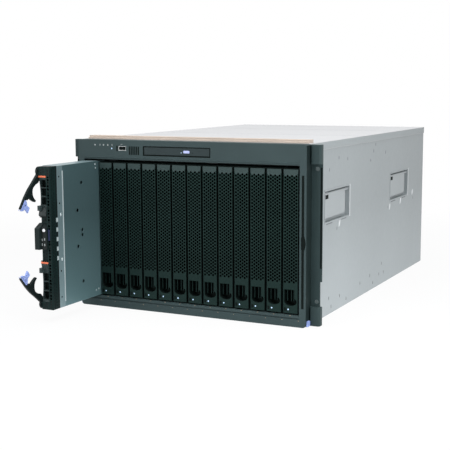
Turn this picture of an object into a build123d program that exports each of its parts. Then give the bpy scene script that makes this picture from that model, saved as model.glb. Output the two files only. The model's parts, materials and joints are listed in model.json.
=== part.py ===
from build123d import *
import os

# Rack standard
RACK_UNIT = 44.45
RACK_PANEL_WIDTH = 482.6
RACK_HOLE_INSET = 8.75
RACK_HOLE_RADIUS = 3.5
RACK_HOLE_LOW = 41.3
EAR_WIDTH = 19.3
EAR_SHEET = 3.0
EAR_LEG = 40.0
EAR_LEG_SHEET = 2.0
EAR_BLOCK_HEIGHT = 32.0
EAR_BLOCK_PROUD = 9.0
EAR_BLOCK_CHAMFER = 3.0
EAR_EDGE_CUT = 3.3
EAR_EDGE_RISE = 42.0

# Chassis
MEDIA_HEIGHT = 38.0
REAR_DEPTH = 265.0
STEEL = 1.2
FIT = 0.3
LIP_GAP = 0.1
FLAT_COUNT = 8
COVER_LIP = 13.3
TOP_FLANGE = 12.0

# Front bezel
BEZEL_PROUD = 27.0
BEZEL_DEPTH = 21.0
BEZEL_FACE = 4.0
BEZEL_SKIRT = 3.0
BEZEL_CORNER = 5.0
OPENING_MARGIN = 0.5
OPENING_BOTTOM = 20.5
OPENING_RISE = 3.2
BEAD_RADIUS = 1.2
BEAD_RISE = 3.6
LEDGE_CHAMFER = 2.4
LEDGE_GROOVE_Z = 14.4
LEDGE_GROOVE = 1.8
FRAME_GROOVE_INSET = 5.5
FRAME_GROOVE_WIDTH = 3.6
FRAME_GROOVE_RISE = 10.5
FRAME_GROOVE_DROP = 12.5
FINGER_NOTCH_DROP = 2.0
FINGER_NOTCH_WIDTH = 6.4
FINGER_NOTCH_HEIGHT = 24.0
FINGER_NOTCH_CORNER = 2.2
GROOVE_DEPTH = 2.0
RELEASE_HEIGHT = 9.0
RELEASE_SHEET = 3.0
RELEASE_LOW = 1.5
RELEASE_SETBACK = 3.0
RELEASE_SLANT = 3.0

# Seal strip on the front edge of the top
STRIP_INSET = 5.5
STRIP_FRONT = -2.0
STRIP_DEPTH = 20.0
STRIP_HEIGHT = 5.7
STRIP_STEP = 3.0

# Blade bays
BAY_COUNT = 14
BAY_MARGIN = 12.0
BLADE_GAP = 1.0
BAY_FLOOR = 21.2
GUIDE_RIB = 0.4
GUIDE_RIB_HEIGHT = 3.0
BLADE_HEIGHT = 245.0
BLADE_DEPTH = 446.0
BLADE_OUT = 146.0
BLADE_BAY = 1

# Bay fillers
FILLER_SHORT = 1.4
FILLER_DEPTH = 80.0
FILLER_WALL = 1.2
FILLER_FACE = 2.0
VENT_RISE = 49.5
VENT_DROP = 8.0
VENT_COLUMNS = 4
VENT_ROWS = 1
VENT_MARGIN = 2.2
VENT_WEB = 2.2
GRIP_RISE = 14.1
GRIP_HEIGHT = 27.4
GRIP_LEFT = 4.5
GRIP_RIGHT = 9.8
GRIP_BULGE = 1.3
GRIP_DEPTH = 16.0
GRIP_RIB = 1.6
GRIP_RIB_PLACES = (3.5, 9.5)
GRIP_BOWL = 7.0
GRIP_WALL = 2.0

# Media tray and its drive
DRIVE_CENTER_X = -19.15
DRIVE_DROP = 18.05
DRIVE_FACE_WIDTH = 128.6
DRIVE_FACE_HEIGHT = 12.9
DRIVE_WINDOW_GAP = 1.8
DRIVE_DEPTH = 127.0
DRIVE_SHEET = 0.8
DRIVE_FACE = 4.0
DISC_RADIUS = 60.5
DISC_RECESS = 1.6
DISC_HUB = 7.0
DISC_MARGIN = 2.0
EJECT_X = 0.9
EJECT_WIDTH = 11.6
EJECT_HEIGHT = 4.4
EJECT_PROUD = 0.8
EJECT_STEM = 3.0
EJECT_CORNER = 0.8
USB_X = -129.5
USB_DROP = 14.9
USB_WIDTH = 16.0
USB_HEIGHT = 8.0
USB_DEPTH = 18.0
USB_SHEET = 1.0
USB_TONGUE = 2.0
TRAY_DEPTH = 150.0
TRAY_FOOT = 14.0
TRAY_STEP = 8.0
MEDIA_VENT_X = -104.5
MEDIA_VENT_DROP = 18.3
MEDIA_VENT_SLOTS = 6
MEDIA_VENT_PITCH = 3.7
MEDIA_VENT_WIDTH = 2.0
MEDIA_VENT_HEIGHT = 15.0

# Lifting handles on the sides
HANDLE_FRONT_Y = 125.5
HANDLE_REAR_GAP = 182.5
HANDLE_BELOW_TOP = 112.8
POCKET_LENGTH = 124.0
POCKET_HEIGHT = 54.0
POCKET_DEPTH = 8.0
POCKET_SHEET = 1.0
POCKET_FLANGE = 5.0
HANDLE_SHEET = 2.0
HANDLE_DROP = 42.0
HANDLE_INSET = 1.7
HANDLE_BARREL = 2.5
HANDLE_JOURNAL = 1.8
HANDLE_END_GAP = 1.0
HANDLE_FINGER_GAP = 18.0
HANDLE_CORNER = 4.0
HANDLE_TOP_ROOM = 3.0
JOURNAL_CLEARANCE = 0.05

# Blade front, levers and drives
FRONT_DEPTH = 20.0
FRONT_WALL = 1.2
COVER_START = 36.0
COVER_HOLE = 3.1
COVER_HOLE_BACK = 92.0
COVER_HOLE_INSET = 34.5
COVER_HOLE_FRONT = 79.0
COVER_HOLE_STEP = 32.0
COVER_HOLE_RISE = 8.5
COVER_HOLE_PAIR = 9.0
STRIP_HOLE = 1.5
STRIP_HOLE_BACK = 26.0
STRIP_HOLE_INSETS = (18.5, 64.0)
HOOK_TAB_COUNT = 5
HOOK_TAB_PITCH = 16.5
HOOK_TAB_HEIGHT = 8.0
HOOK_TAB_LENGTH = 5.0
HOOK_TABS_DROP = 2.0
LEVER_SHEET = 4.2
LEVER_PIVOT_BACK = 5.0
LEVER_PIVOT_INSET = 8.5
LEVER_EYE = 8.0
UPPER_LEVER_OPEN = 42.0
LOWER_LEVER_OPEN = 47.0
LEVER_PIN = 1.5
PIN_CLEARANCE = 0.05
CHEEK_SHEET = 1.1
RELEASE_PIVOT = (-4.5, 68.0)
RELEASE_PIN = 1.3
PIN_SEAT = 6.0
COMB_WIDTH = 5.0
DISK_HEIGHT = 69.0
DISK_DEPTH = 108.0
DISK_INSET = 15.5
LATCH_DROP = 2.0
CARRIER_FACE = 14.0
CARRIER_SAG = 4.0
WINDOW_COUNT = 3
WINDOW_DEPTH = 9.0
LATCH_HEIGHT = 2.7
LATCH_DEPTH = 8.0
LATCH_TRAVEL = 1.2
PULL_TAB = 6.0
PULL_TAB_HEIGHT = 8.6
PULL_TAB_WIDTH = 5.0
PULL_TAB_INSET = 10.0
WINDOW_MARGIN = 3.0
WINDOW_SIDE = 1.8
WINDOW_BAR = 2.2
LATCH_PROUD = 1.2
LATCH_SLANT = 1.0
HUMP_DROP_SHARE = 0.155
HUMP_RISE_SHARE = 0.28
HUMP_PROUD = 9.0
HUMP_CHAMFER = 8.0
RIDGE_WIDTH = 9.5
PANEL_PROUD = 3.0
GRILLE_SETBACK = 5.0
GRILLE_MARGIN = 2.0
BUTTON_RADIUS = 2.7
BUTTON_CLEARANCE = 0.15
BUTTON_PROUD = 0.8
BUTTON_DEPTH = 4.0
BUTTON_DROP = 11.0
COMB_PITCH = 13.4
COMB_WEB = 2.2
COMB_TIP = 1.6
COMB_MARGIN = 14.0
HUMP_RIM = 6.0

# Lever outlines, first outwards from the pivot, then along the closed arm
LEVER_BACK = ((2, 8), (3.4, 26), (5, 42))
LEVER_TIP = ((5, 42), (4.8, 58), (2.2, 80), (0.2, 80), (1.4, 60), (-4.4, 57.5), (-5.1, 52))
LEVER_HOOK_TOP = ((-5.1, 52), (-13, 51.2), (-23.1, 47.8))
LEVER_HOOK_END = ((-23.1, 47.8), (-22.9, 44.4))
LEVER_HOOK_UNDER = ((-22.9, 44.4), (-10.9, 42.8), (-3.6, 34))
LEVER_THROAT = ((-3.6, 34), (-4.9, 26), (-9, 18))
LEVER_HEEL = ((-9, 18), (-7.5, 0), (2, 0), (2, 8))
LEVER_CHEEK = ((1.2, 58), (-4.4, 57.5), (-8, 64), (-8, 74), (0.3, 79))
RELEASE_POINTS = ((-1.2, 60), (-5.4, 61.7), (-9.3, 65.1), (-16.8, 64.1), (-18.7, 74.1), (-9, 72.7),
                  (-5.7, 79.1), (-1.6, 82))

# Blade inside
BOARD_SHEET = 1.6
BOARD_STANDOFF = 2.2
BOARD_START = 128.0
BOARD_MARGIN = 4.0
STANDOFF_RADIUS = 3.0
STANDOFF_MARGIN = 15.0
STANDOFF_ROWS = 3
SINK_LENGTH = 95.0
SINK_HEIGHT = 76.0
SINK_CLEAR = 5.8
SINK_BASE = 4.0
SINK_FINS = 9
SINK_FIN = 1.2
SINK_START = 20.0
SINK_MARGIN = 21.0
DIMM_GAP = 12.0
DIMM_COUNT = 8
DIMM_REAR_GAP = 58.0
DIMM_CLEAR = 4.8
DIMM_SHEET = 3.0
DIMM_PITCH = 8.0
PLUG_LENGTH = 12.0
PLUG_PROUD = 6.0
PLUG_HEIGHT = 42.0
PLUG_CLEAR = 4.8
PLUG_MARGIN = 57.5
PLUG_ROOM = 1.0

# Midplane and rear cage
SOCKET_DEPTH = 8.0
SOCKET_GAP = 0.5
MIDPLANE_SHEET = 4.0
IO_COLUMN = 36.0
BLOWER_COLUMN = 160.0
MODULE_WALL = 1.5
CAGE_SETBACK = 6.0
MODULE_GAP = 3.0
HANDLE_REACH = 14.0
HANDLE_BAR = 5.0
HANDLE_BEND = 4.0
BLOWER_MOUTH = 58.0
GRILLE_RING = 40.0
GRILLE_HUB = 23.0
GRILLE_BAR = 3.0
GRILLE_SPOKES = 6
GRILLE_SIDES = 12
MOTOR_RADIUS = 24.0
MOTOR_LENGTH = 110.0
SHAFT_RADIUS = 4.0
WHEEL_RADIUS = 56.0
WHEEL_WIDTH = 70.0
WHEEL_HUB = 30.0
WHEEL_PLATE = 3.0
WHEEL_VANES = 11
WHEEL_VANE = 2.0
WHEEL_VANE_TURN = 25.0
WHEEL_VANE_SUNK = 2.0
WHEEL_GAP = 4.0
PORT_COUNT = 5
SWITCH_PORT_WIDTH = 14.0
MANAGEMENT_PORT_WIDTH = 22.0
PORT_HEIGHT = 12.0
PORT_DEPTH = 3.0
PORT_MARGIN = 10.0
PORT_TOP_ROOM = 30.0
IO_HANDLE_LENGTH = 24.0
IO_HANDLE_TOP = 4.0
POWER_SLOT_LEFT = 7.0
POWER_SLOT_RIGHT = 30.0
POWER_SLOT_HEIGHT = 56.0
POWER_SLOTS = 6
POWER_SLOT_DROP = 40.0
INLET_WIDTH = 30.0
INLET_HEIGHT = 22.0
INLET_CHAMFER = 4.0
INLET_DEPTH = 20.0
INLET_PIN_SETBACK = 6.0
INLET_PIN_WIDTH = 2.0
INLET_PIN_HEIGHT = 8.0
INLET_PIN_PLACES = ((-7.0, -2.0), (0.0, 4.0), (7.0, -2.0))
INLET_RISE = 36.0
POWER_HANDLE_INSET = 14.0
POWER_HANDLE_RISE = 50.0
POWER_HANDLE_TOP = 14.0
BLOWER_HANDLE_INSET = 9.0
BLOWER_HANDLE_RISE = 10.0
BLOWER_HANDLE_LENGTH = 50.0
AIR_SLOT = 3.6
BLANK_DEPTH = 30.0
BLANK_SLOTS = 3
BLANK_FIELD = 90.0
BLANK_MARGIN = 7.0

# Derived sizes and places
CHASSIS_WIDTH = RACK_PANEL_WIDTH - 2 * EAR_WIDTH
RACK_HOLE_SPACING = RACK_PANEL_WIDTH - 2 * RACK_HOLE_INSET
CHASSIS_HEIGHT = BAY_FLOOR + 2 * FIT + BLADE_HEIGHT + MEDIA_HEIGHT
CHASSIS_DEPTH = BLADE_DEPTH + REAR_DEPTH
BAY_PITCH = (CHASSIS_WIDTH - 2 * BAY_MARGIN) / BAY_COUNT
BLADE_WIDTH = BAY_PITCH - BLADE_GAP
BEZEL_FRONT = -BEZEL_PROUD
BEZEL_REAR = BEZEL_FRONT + BEZEL_DEPTH
CHASSIS_REAR = BEZEL_FRONT + CHASSIS_DEPTH
HALF_WIDTH = CHASSIS_WIDTH / 2
SHELL_HALF = HALF_WIDTH - STEEL - LIP_GAP
SHELL_TOP = CHASSIS_HEIGHT - STEEL
INNER_HALF = SHELL_HALF - STEEL
INNER_TOP = SHELL_TOP - STEEL
BLADE_BOTTOM = BAY_FLOOR + FIT
BLADE_TOP = BLADE_BOTTOM + BLADE_HEIGHT
BAY_CEILING = BLADE_TOP + FIT
BLADE_MIDDLE = (BLADE_BOTTOM + BLADE_TOP) / 2
BAYS_HALF = BAY_COUNT * BAY_PITCH / 2
OPENING_TOP = BAY_CEILING + OPENING_RISE
FILLER_TOP = BLADE_TOP - FILLER_SHORT
GRIP_LOW = BLADE_BOTTOM + GRIP_RISE
GRIP_HIGH = GRIP_LOW + GRIP_HEIGHT
DRIVE_CENTER_Z = CHASSIS_HEIGHT - DRIVE_DROP
USB_Z = CHASSIS_HEIGHT - USB_DROP
MEDIA_VENT_Z = CHASSIS_HEIGHT - MEDIA_VENT_DROP
HANDLE_Z = CHASSIS_HEIGHT - HANDLE_BELOW_TOP
BLADE_FRONT = BEZEL_FRONT - BLADE_OUT
BLADE_REAR = BLADE_FRONT + BLADE_DEPTH
MIDPLANE_FRONT = BEZEL_FRONT + BLADE_DEPTH + PLUG_PROUD + SOCKET_GAP + SOCKET_DEPTH
MIDPLANE_REAR = MIDPLANE_FRONT + MIDPLANE_SHEET
CAGE_REAR = CHASSIS_REAR - CAGE_SETBACK
SHELF_Z = (STEEL + INNER_TOP) / 2
HANDLE_Y = (HANDLE_FRONT_Y, CHASSIS_REAR - HANDLE_REAR_GAP)
POCKET_FLOOR = SHELL_HALF - POCKET_DEPTH
CAGE_HALF = POCKET_FLOOR - POCKET_SHEET


def bay_x(bay):
    """Centre of a bay, counted from 1 at the left."""
    return (bay - (BAY_COUNT + 1) / 2) * BAY_PITCH


BLADE_X = bay_x(BLADE_BAY)
BLADE_LEFT = BLADE_X - BLADE_WIDTH / 2
BLADE_RIGHT = BLADE_X + BLADE_WIDTH / 2
LEVER_LEFT = BLADE_LEFT + STEEL + FIT
LEVER_RIGHT = LEVER_LEFT + LEVER_SHEET
DISK_LEFT = LEVER_RIGHT + 2 * FIT
DISK_RIGHT = BLADE_RIGHT - COMB_WIDTH - 2 * FRONT_WALL - FIT
DISK_MIDDLE = (DISK_LEFT + DISK_RIGHT) / 2
LOWER_DISK_LOW = BLADE_BOTTOM + DISK_INSET - LATCH_DROP
UPPER_DISK_LOW = BLADE_TOP - DISK_INSET - DISK_HEIGHT
LOWER_DISK_HIGH = LOWER_DISK_LOW + DISK_HEIGHT
HUMP_ROOM = UPPER_DISK_LOW - LOWER_DISK_HIGH
HUMP_LOW = LOWER_DISK_HIGH + HUMP_RISE_SHARE * HUMP_ROOM
HUMP_HIGH = UPPER_DISK_LOW - HUMP_DROP_SHARE * HUMP_ROOM
BOARD_FACE = BLADE_LEFT + STEEL + BOARD_STANDOFF + BOARD_SHEET
PART_ROOM = BLADE_RIGHT - STEEL - BOARD_FACE
PLUG_WIDTH = PART_ROOM - PLUG_CLEAR
PLUG_HEIGHTS = (BLADE_BOTTOM + PLUG_MARGIN, BLADE_TOP - PLUG_MARGIN)
PIVOT_Y = BLADE_FRONT + LEVER_PIVOT_BACK
UPPER_PIVOT_Z = BLADE_TOP - LEVER_PIVOT_INSET
LOWER_PIVOT_Z = BLADE_BOTTOM + LEVER_PIVOT_INSET


def block(x0, x1, y0, y1, z0, z1):
    """Box between two corners."""
    center = Pos((x0 + x1) / 2, (y0 + y1) / 2, (z0 + z1) / 2)
    return center * Box(x1 - x0, y1 - y0, z1 - z0)


def along_y(outline, y0, y1):
    """Outline drawn in X and Z, pulled from y0 to y1."""
    return extrude(Plane.XZ.offset(-y0) * outline, amount=y0 - y1)


def along_x(outline, x0, x1):
    """Outline drawn in Y and Z, pulled from x0 to x1."""
    return extrude(Plane.YZ.offset(x0) * outline, amount=x1 - x0)


def rod_x(radius, x0, x1, y, z):
    """Round bar along X."""
    return along_x(Pos(y, z) * Circle(radius), x0, x1)


def punch_x(radius, x0, x1, y, z):
    """Small hole along X, with flats."""
    return along_x(Pos(y, z) * RegularPolygon(radius, FLAT_COUNT, major_radius=False), x0, x1)


def bar_y(radius, y0, y1, x, z):
    """Bar or hole along Y, with flats."""
    return along_y(Pos(x, z) * RegularPolygon(radius, FLAT_COUNT, major_radius=False), y0, y1)


def rod_y(radius, y0, y1, x, z):
    """Round bar along Y."""
    return along_y(Pos(x, z) * Circle(radius), y0, y1)


def mirrored_pair(solid):
    """A piece of the right side with its twin on the left."""
    return Compound(children=[solid, mirror(solid, about=Plane.YZ)])


def chassis_shell():
    """Folded steel base and sides with top flanges and four handle windows."""
    height = Pos(0, SHELL_TOP / 2)
    inside = Pos(0, (STEEL + INNER_TOP) / 2)
    outline = height * Rectangle(2 * SHELL_HALF, SHELL_TOP)
    outline -= inside * Rectangle(2 * INNER_HALF, INNER_TOP - STEEL)
    outline -= Pos(0, SHELL_TOP) * Rectangle(2 * (SHELL_HALF - TOP_FLANGE), 3 * STEEL)
    shell = along_y(outline, BEZEL_REAR, CHASSIS_REAR)
    for y in HANDLE_Y:
        window = Pos(0, y, HANDLE_Z) * Box(3 * SHELL_HALF, POCKET_LENGTH, POCKET_HEIGHT)
        shell -= window
    return shell


def top_cover():
    """Flat lid whose side lips hang outside the chassis sides."""
    outline = Pos(0, CHASSIS_HEIGHT - COVER_LIP / 2) * Rectangle(CHASSIS_WIDTH, COVER_LIP)
    inner_width = CHASSIS_WIDTH - 2 * STEEL
    outline -= Pos(0, SHELL_TOP - COVER_LIP / 2) * Rectangle(inner_width, COVER_LIP)
    return along_y(outline, BEZEL_REAR, CHASSIS_REAR)


def seal_strip():
    """Layered foam strip across the front edge of the lid."""
    base = CHASSIS_HEIGHT
    rear = STRIP_FRONT + STRIP_DEPTH
    top = base + STRIP_HEIGHT
    step = STRIP_FRONT + STRIP_STEP
    points = [(STRIP_FRONT, base), (rear, base), (rear, top), (step, top)]
    points += [(step, base + STRIP_HEIGHT / 2), (STRIP_FRONT, base + STRIP_HEIGHT / 2)]
    outline = make_face(Polyline(points, close=True))
    return along_x(outline, STRIP_INSET - HALF_WIDTH, HALF_WIDTH - STRIP_INSET)


def frame_groove(side):
    """Upright groove with a finger notch in one side of the bezel frame."""
    low = BLADE_BOTTOM + FRAME_GROOVE_RISE
    high = BLADE_TOP - FRAME_GROOVE_DROP
    outline = Pos(0, (low + high) / 2) * Rectangle(FRAME_GROOVE_WIDTH, high - low)
    notch = Rectangle(FINGER_NOTCH_WIDTH, FINGER_NOTCH_HEIGHT)
    notch = chamfer(notch.vertices(), FINGER_NOTCH_CORNER)
    outline += Pos(0, BLADE_MIDDLE - FINGER_NOTCH_DROP) * notch
    outline = Pos(side * (HALF_WIDTH - FRAME_GROOVE_INSET), 0) * outline
    return along_y(outline, BEZEL_FRONT, BEZEL_FRONT + GROOVE_DEPTH)


def media_vent_slots():
    """Row of upright air slots beside the drive window."""
    slots = Sketch()
    for index in range(MEDIA_VENT_SLOTS):
        offset = (index - (MEDIA_VENT_SLOTS - 1) / 2) * MEDIA_VENT_PITCH
        slots += Pos(MEDIA_VENT_X + offset, MEDIA_VENT_Z) * Rectangle(MEDIA_VENT_WIDTH, MEDIA_VENT_HEIGHT)
    return along_y(slots, BEZEL_FRONT, BEZEL_FRONT + BEZEL_FACE)


def front_bezel():
    """Moulded frame around the bays with the media windows above them."""
    middle = CHASSIS_HEIGHT / 2
    outline = Pos(0, middle) * RectangleRounded(CHASSIS_WIDTH, CHASSIS_HEIGHT, BEZEL_CORNER)
    bezel = along_y(outline, BEZEL_FRONT, BEZEL_REAR)
    hollow_half = HALF_WIDTH - BEZEL_SKIRT
    face_back = BEZEL_FRONT + BEZEL_FACE
    hollow_top = CHASSIS_HEIGHT - BEZEL_SKIRT
    bezel -= block(-hollow_half, hollow_half, face_back, BEZEL_REAR, BEZEL_SKIRT, hollow_top)
    mouth = BAYS_HALF + OPENING_MARGIN
    bezel -= block(-mouth, mouth, BEZEL_FRONT, face_back, OPENING_BOTTOM, OPENING_TOP)
    chamfer_points = [(BEZEL_FRONT, OPENING_BOTTOM - LEDGE_CHAMFER), (BEZEL_FRONT, OPENING_BOTTOM),
                      (BEZEL_FRONT + LEDGE_CHAMFER, OPENING_BOTTOM)]
    bezel -= along_x(make_face(Polyline(chamfer_points, close=True)), -mouth, mouth)
    groove_half = LEDGE_GROOVE / 2
    bezel -= block(-mouth, mouth, BEZEL_FRONT, BEZEL_FRONT + GROOVE_DEPTH,
                   LEDGE_GROOVE_Z - groove_half, LEDGE_GROOVE_Z + groove_half)
    for side in (-1, 1):
        bezel -= frame_groove(side)
    window = Rectangle(DRIVE_FACE_WIDTH + 2 * DRIVE_WINDOW_GAP, DRIVE_FACE_HEIGHT + 2 * DRIVE_WINDOW_GAP)
    windows = Pos(DRIVE_CENTER_X, DRIVE_CENTER_Z) * window
    windows += Pos(USB_X, USB_Z) * Rectangle(USB_WIDTH + 2 * FIT, USB_HEIGHT + 2 * FIT)
    bezel -= along_y(windows, BEZEL_FRONT, face_back)
    bezel -= media_vent_slots()
    bead = Pos(BEZEL_FRONT, OPENING_TOP + BEAD_RISE) * RegularPolygon(BEAD_RADIUS, 8)
    return bezel + along_x(bead, -mouth, mouth)


def rack_ears():
    """Steel brackets on both sides with the rack holes and thick corner blocks."""
    leg_right = SHELL_HALF + EAR_LEG_SHEET
    edge = RACK_PANEL_WIDTH / 2
    lip_bottom = CHASSIS_HEIGHT - COVER_LIP - FIT
    ear = block(SHELL_HALF, leg_right, -EAR_SHEET, EAR_LEG, STEEL, lip_bottom)
    ear += block(HALF_WIDTH + LIP_GAP, edge, -EAR_SHEET, 0, STEEL, SHELL_TOP)
    for low in (STEEL, SHELL_TOP - EAR_BLOCK_HEIGHT):
        corner = block(HALF_WIDTH + LIP_GAP, edge, -EAR_SHEET - EAR_BLOCK_PROUD, -EAR_SHEET,
                       low, low + EAR_BLOCK_HEIGHT)
        ear += chamfer(corner.edges().filter_by(Axis.Z).sort_by(Axis.Y)[:2], EAR_BLOCK_CHAMFER)
    notch_low = STEEL + EAR_BLOCK_HEIGHT
    ear -= block(edge - EAR_EDGE_CUT, edge, -EAR_SHEET, 0, notch_low, notch_low + EAR_EDGE_RISE)
    units = round((CHASSIS_HEIGHT - 2 * RACK_HOLE_LOW) / RACK_UNIT)
    for z in (RACK_HOLE_LOW, RACK_HOLE_LOW + units * RACK_UNIT):
        ear -= rod_y(RACK_HOLE_RADIUS, -EAR_SHEET, 0, RACK_HOLE_SPACING / 2, z)
    return mirrored_pair(ear)


def bezel_releases():
    """Blue spring tabs at the lower corners of the bezel."""
    front = BEZEL_FRONT + RELEASE_SETBACK
    rear = -EAR_SHEET - EAR_BLOCK_PROUD - FIT
    top = RELEASE_LOW + RELEASE_HEIGHT
    outline = make_face(Polyline([(front, RELEASE_LOW), (rear, RELEASE_LOW), (rear, top),
                                  (front + RELEASE_SLANT, top)], close=True))
    return mirrored_pair(along_x(outline, HALF_WIDTH, HALF_WIDTH + RELEASE_SHEET))


def bay_guide(plate_low, rib_low):
    """Sheet across all bays with a thin rib between neighbours."""
    rear = MIDPLANE_FRONT
    guide = block(-INNER_HALF, INNER_HALF, BEZEL_REAR, rear, plate_low, plate_low + STEEL)
    for bay in range(1, BAY_COUNT + 2):
        x = bay_x(bay) - BAY_PITCH / 2
        guide += block(x - GUIDE_RIB / 2, x + GUIDE_RIB / 2, BEZEL_REAR, rear - SOCKET_DEPTH,
                       rib_low, rib_low + GUIDE_RIB_HEIGHT)
    return guide


def midplane():
    """Board behind the bays with two sockets for every bay."""
    pieces = [block(-CAGE_HALF, CAGE_HALF, MIDPLANE_FRONT, MIDPLANE_REAR, STEEL, INNER_TOP)]
    for bay in range(1, BAY_COUNT + 1):
        for z in PLUG_HEIGHTS:
            socket = Pos(bay_x(bay), MIDPLANE_FRONT - SOCKET_DEPTH / 2, z)
            pieces.append(socket * Box(PLUG_WIDTH, SOCKET_DEPTH, PLUG_HEIGHT))
    return Compound(children=pieces)


def cage_columns():
    """Left and right limits of the five columns of rear bays."""
    blower = BLOWER_COLUMN / 2
    io_edge = blower + IO_COLUMN
    outer = CAGE_HALF - STEEL / 2
    return {"power_left": (-outer, -io_edge), "io_left": (-io_edge, -blower),
            "blower": (-blower, blower), "io_right": (blower, io_edge),
            "power_right": (io_edge, outer)}


def rear_cage():
    """Crossing sheets that part the rear into ten module bays."""
    half = STEEL / 2
    cage = block(-CAGE_HALF, CAGE_HALF, MIDPLANE_REAR, CAGE_REAR, SHELF_Z - half, SHELF_Z + half)
    walls = {x for limits in cage_columns().values() for x in limits}
    for x in sorted(walls):
        cage += block(x - half, x + half, MIDPLANE_REAR, CAGE_REAR, STEEL, INNER_TOP)
    return cage


def bay_room(column, level):
    """Room of one rear bay for a module, as x0, x1, z0, z1."""
    left, right = cage_columns()[column]
    half = STEEL / 2
    low, high = (STEEL, SHELF_Z - half) if level == "lower" else (SHELF_Z + half, INNER_TOP)
    return left + half + FIT, right - half - FIT, low + FIT, high - FIT


def module_box(room):
    """Closed sheet box that fills a rear bay, its face flush with the cage."""
    x0, x1, z0, z1 = room
    front = MIDPLANE_REAR + MODULE_GAP
    wall = MODULE_WALL
    box = block(x0, x1, front, CAGE_REAR, z0, z1)
    return box - block(x0 + wall, x1 - wall, front + wall, CAGE_REAR - wall, z0 + wall, z1 - wall)


def pull_handle(x, z_low, z_high):
    """Bow handle on a rear face, drawn as one bent bar."""
    reach = CAGE_REAR + HANDLE_REACH
    bar = HANDLE_BAR
    path = [(CAGE_REAR, z_low), (reach, z_low), (reach, z_high), (CAGE_REAR, z_high)]
    inner = [(CAGE_REAR, z_low + bar), (reach - bar, z_low + bar), (reach - bar, z_high - bar),
             (CAGE_REAR, z_high - bar)]
    outline = make_face(Polyline(path, close=True)) - make_face(Polyline(inner, close=True))
    outline = chamfer(outline.vertices().group_by(Axis.X)[-1], HANDLE_BEND)
    return along_x(outline, x - bar, x + bar)


def slot_field(left, right, center_z, height, count):
    """Stack of level air slots through a rear face."""
    pitch = height / count
    slots = Sketch()
    for index in range(count):
        z = center_z + (index - (count - 1) / 2) * pitch
        slots += Pos((left + right) / 2, z) * Rectangle(right - left, AIR_SLOT)
    return along_y(slots, CAGE_REAR - MODULE_WALL, CAGE_REAR)


def sunk_socket(module, outline, frame, depth):
    """Sink a socket into a rear face, with its own floor and walls behind the face."""
    module += along_y(frame, CAGE_REAR - depth - MODULE_WALL, CAGE_REAR)
    return module - along_y(outline, CAGE_REAR - depth, CAGE_REAR)


def add_inlet(module, x, z):
    """Mains inlet with three blades standing on its floor."""
    place = Pos(x, z)
    mouth = Rectangle(INLET_WIDTH, INLET_HEIGHT)
    mouth = place * chamfer(mouth.vertices().group_by(Axis.Y)[-1], INLET_CHAMFER)
    frame = place * Rectangle(INLET_WIDTH + 2 * MODULE_WALL, INLET_HEIGHT + 2 * MODULE_WALL)
    module = sunk_socket(module, mouth, frame, INLET_DEPTH)
    for pin_x, pin_z in INLET_PIN_PLACES:
        pin = place * Pos(pin_x, pin_z) * Rectangle(INLET_PIN_WIDTH, INLET_PIN_HEIGHT)
        module += along_y(pin, CAGE_REAR - INLET_DEPTH - MODULE_WALL, CAGE_REAR - INLET_PIN_SETBACK)
    return module


def power_module(column):
    """Power module with an air field, a mains inlet and a bow handle."""
    room = bay_room(column, "upper")
    x0, x1, z0, z1 = room
    middle = (x0 + x1) / 2
    module = module_box(room)
    module -= slot_field(x0 + POWER_SLOT_LEFT, x1 - POWER_SLOT_RIGHT, z1 - POWER_SLOT_DROP, POWER_SLOT_HEIGHT,
                         POWER_SLOTS)
    module = add_inlet(module, middle, z0 + INLET_RISE)
    return module + pull_handle(x1 - POWER_HANDLE_INSET, z0 + POWER_HANDLE_RISE, z1 - POWER_HANDLE_TOP)


def io_module(column, port_width):
    """Slim rear module with a column of ports and a bow handle."""
    room = bay_room(column, "upper")
    x0, x1, z0, z1 = room
    middle = (x0 + x1) / 2
    module = module_box(room)
    pitch = (z1 - z0 - PORT_MARGIN - PORT_TOP_ROOM) / PORT_COUNT
    for index in range(PORT_COUNT):
        place = Pos(middle, z0 + PORT_MARGIN + (index + 0.5) * pitch)
        frame = Rectangle(port_width + 2 * MODULE_WALL, PORT_HEIGHT + 2 * MODULE_WALL)
        module = sunk_socket(module, place * Rectangle(port_width, PORT_HEIGHT), place * frame, PORT_DEPTH)
    handle_high = z1 - IO_HANDLE_TOP
    return module + pull_handle(middle, handle_high - IO_HANDLE_LENGTH, handle_high)


def blower_room(level):
    """Room and wheel centre of a blower."""
    room = bay_room("blower", level)
    return room, (room[0] + room[1]) / 2, (room[2] + room[3]) / 2


def wheel_front():
    """Front plane of the blower wheels."""
    return MIDPLANE_REAR + MODULE_GAP + MODULE_WALL + MOTOR_LENGTH + WHEEL_GAP


def blower(level):
    """Blower housing with a ring grille, and the motor that carries the wheel."""
    room, x, z = blower_room(level)
    housing = module_box(room)
    inner_face = MIDPLANE_REAR + MODULE_GAP + MODULE_WALL
    mouth = RegularPolygon(BLOWER_MOUTH, GRILLE_SIDES)
    bars = RegularPolygon(GRILLE_RING, GRILLE_SIDES) - RegularPolygon(GRILLE_RING - GRILLE_BAR, GRILLE_SIDES)
    bars += RegularPolygon(GRILLE_HUB, GRILLE_SIDES)
    for index in range(GRILLE_SPOKES // 2):
        bars += Rectangle(2 * BLOWER_MOUTH, GRILLE_BAR, rotation=index * 360 / GRILLE_SPOKES)
    housing -= along_y(Pos(x, z) * (mouth - bars), CAGE_REAR - MODULE_WALL, CAGE_REAR)
    housing += bar_y(MOTOR_RADIUS, inner_face, inner_face + MOTOR_LENGTH, x, z)
    housing += rod_y(SHAFT_RADIUS, inner_face, wheel_front() + WHEEL_WIDTH, x, z)
    handle_low = room[2] + BLOWER_HANDLE_RISE
    handle_high = handle_low + BLOWER_HANDLE_LENGTH
    return housing + pull_handle(room[1] - BLOWER_HANDLE_INSET, handle_low, handle_high)


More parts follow.
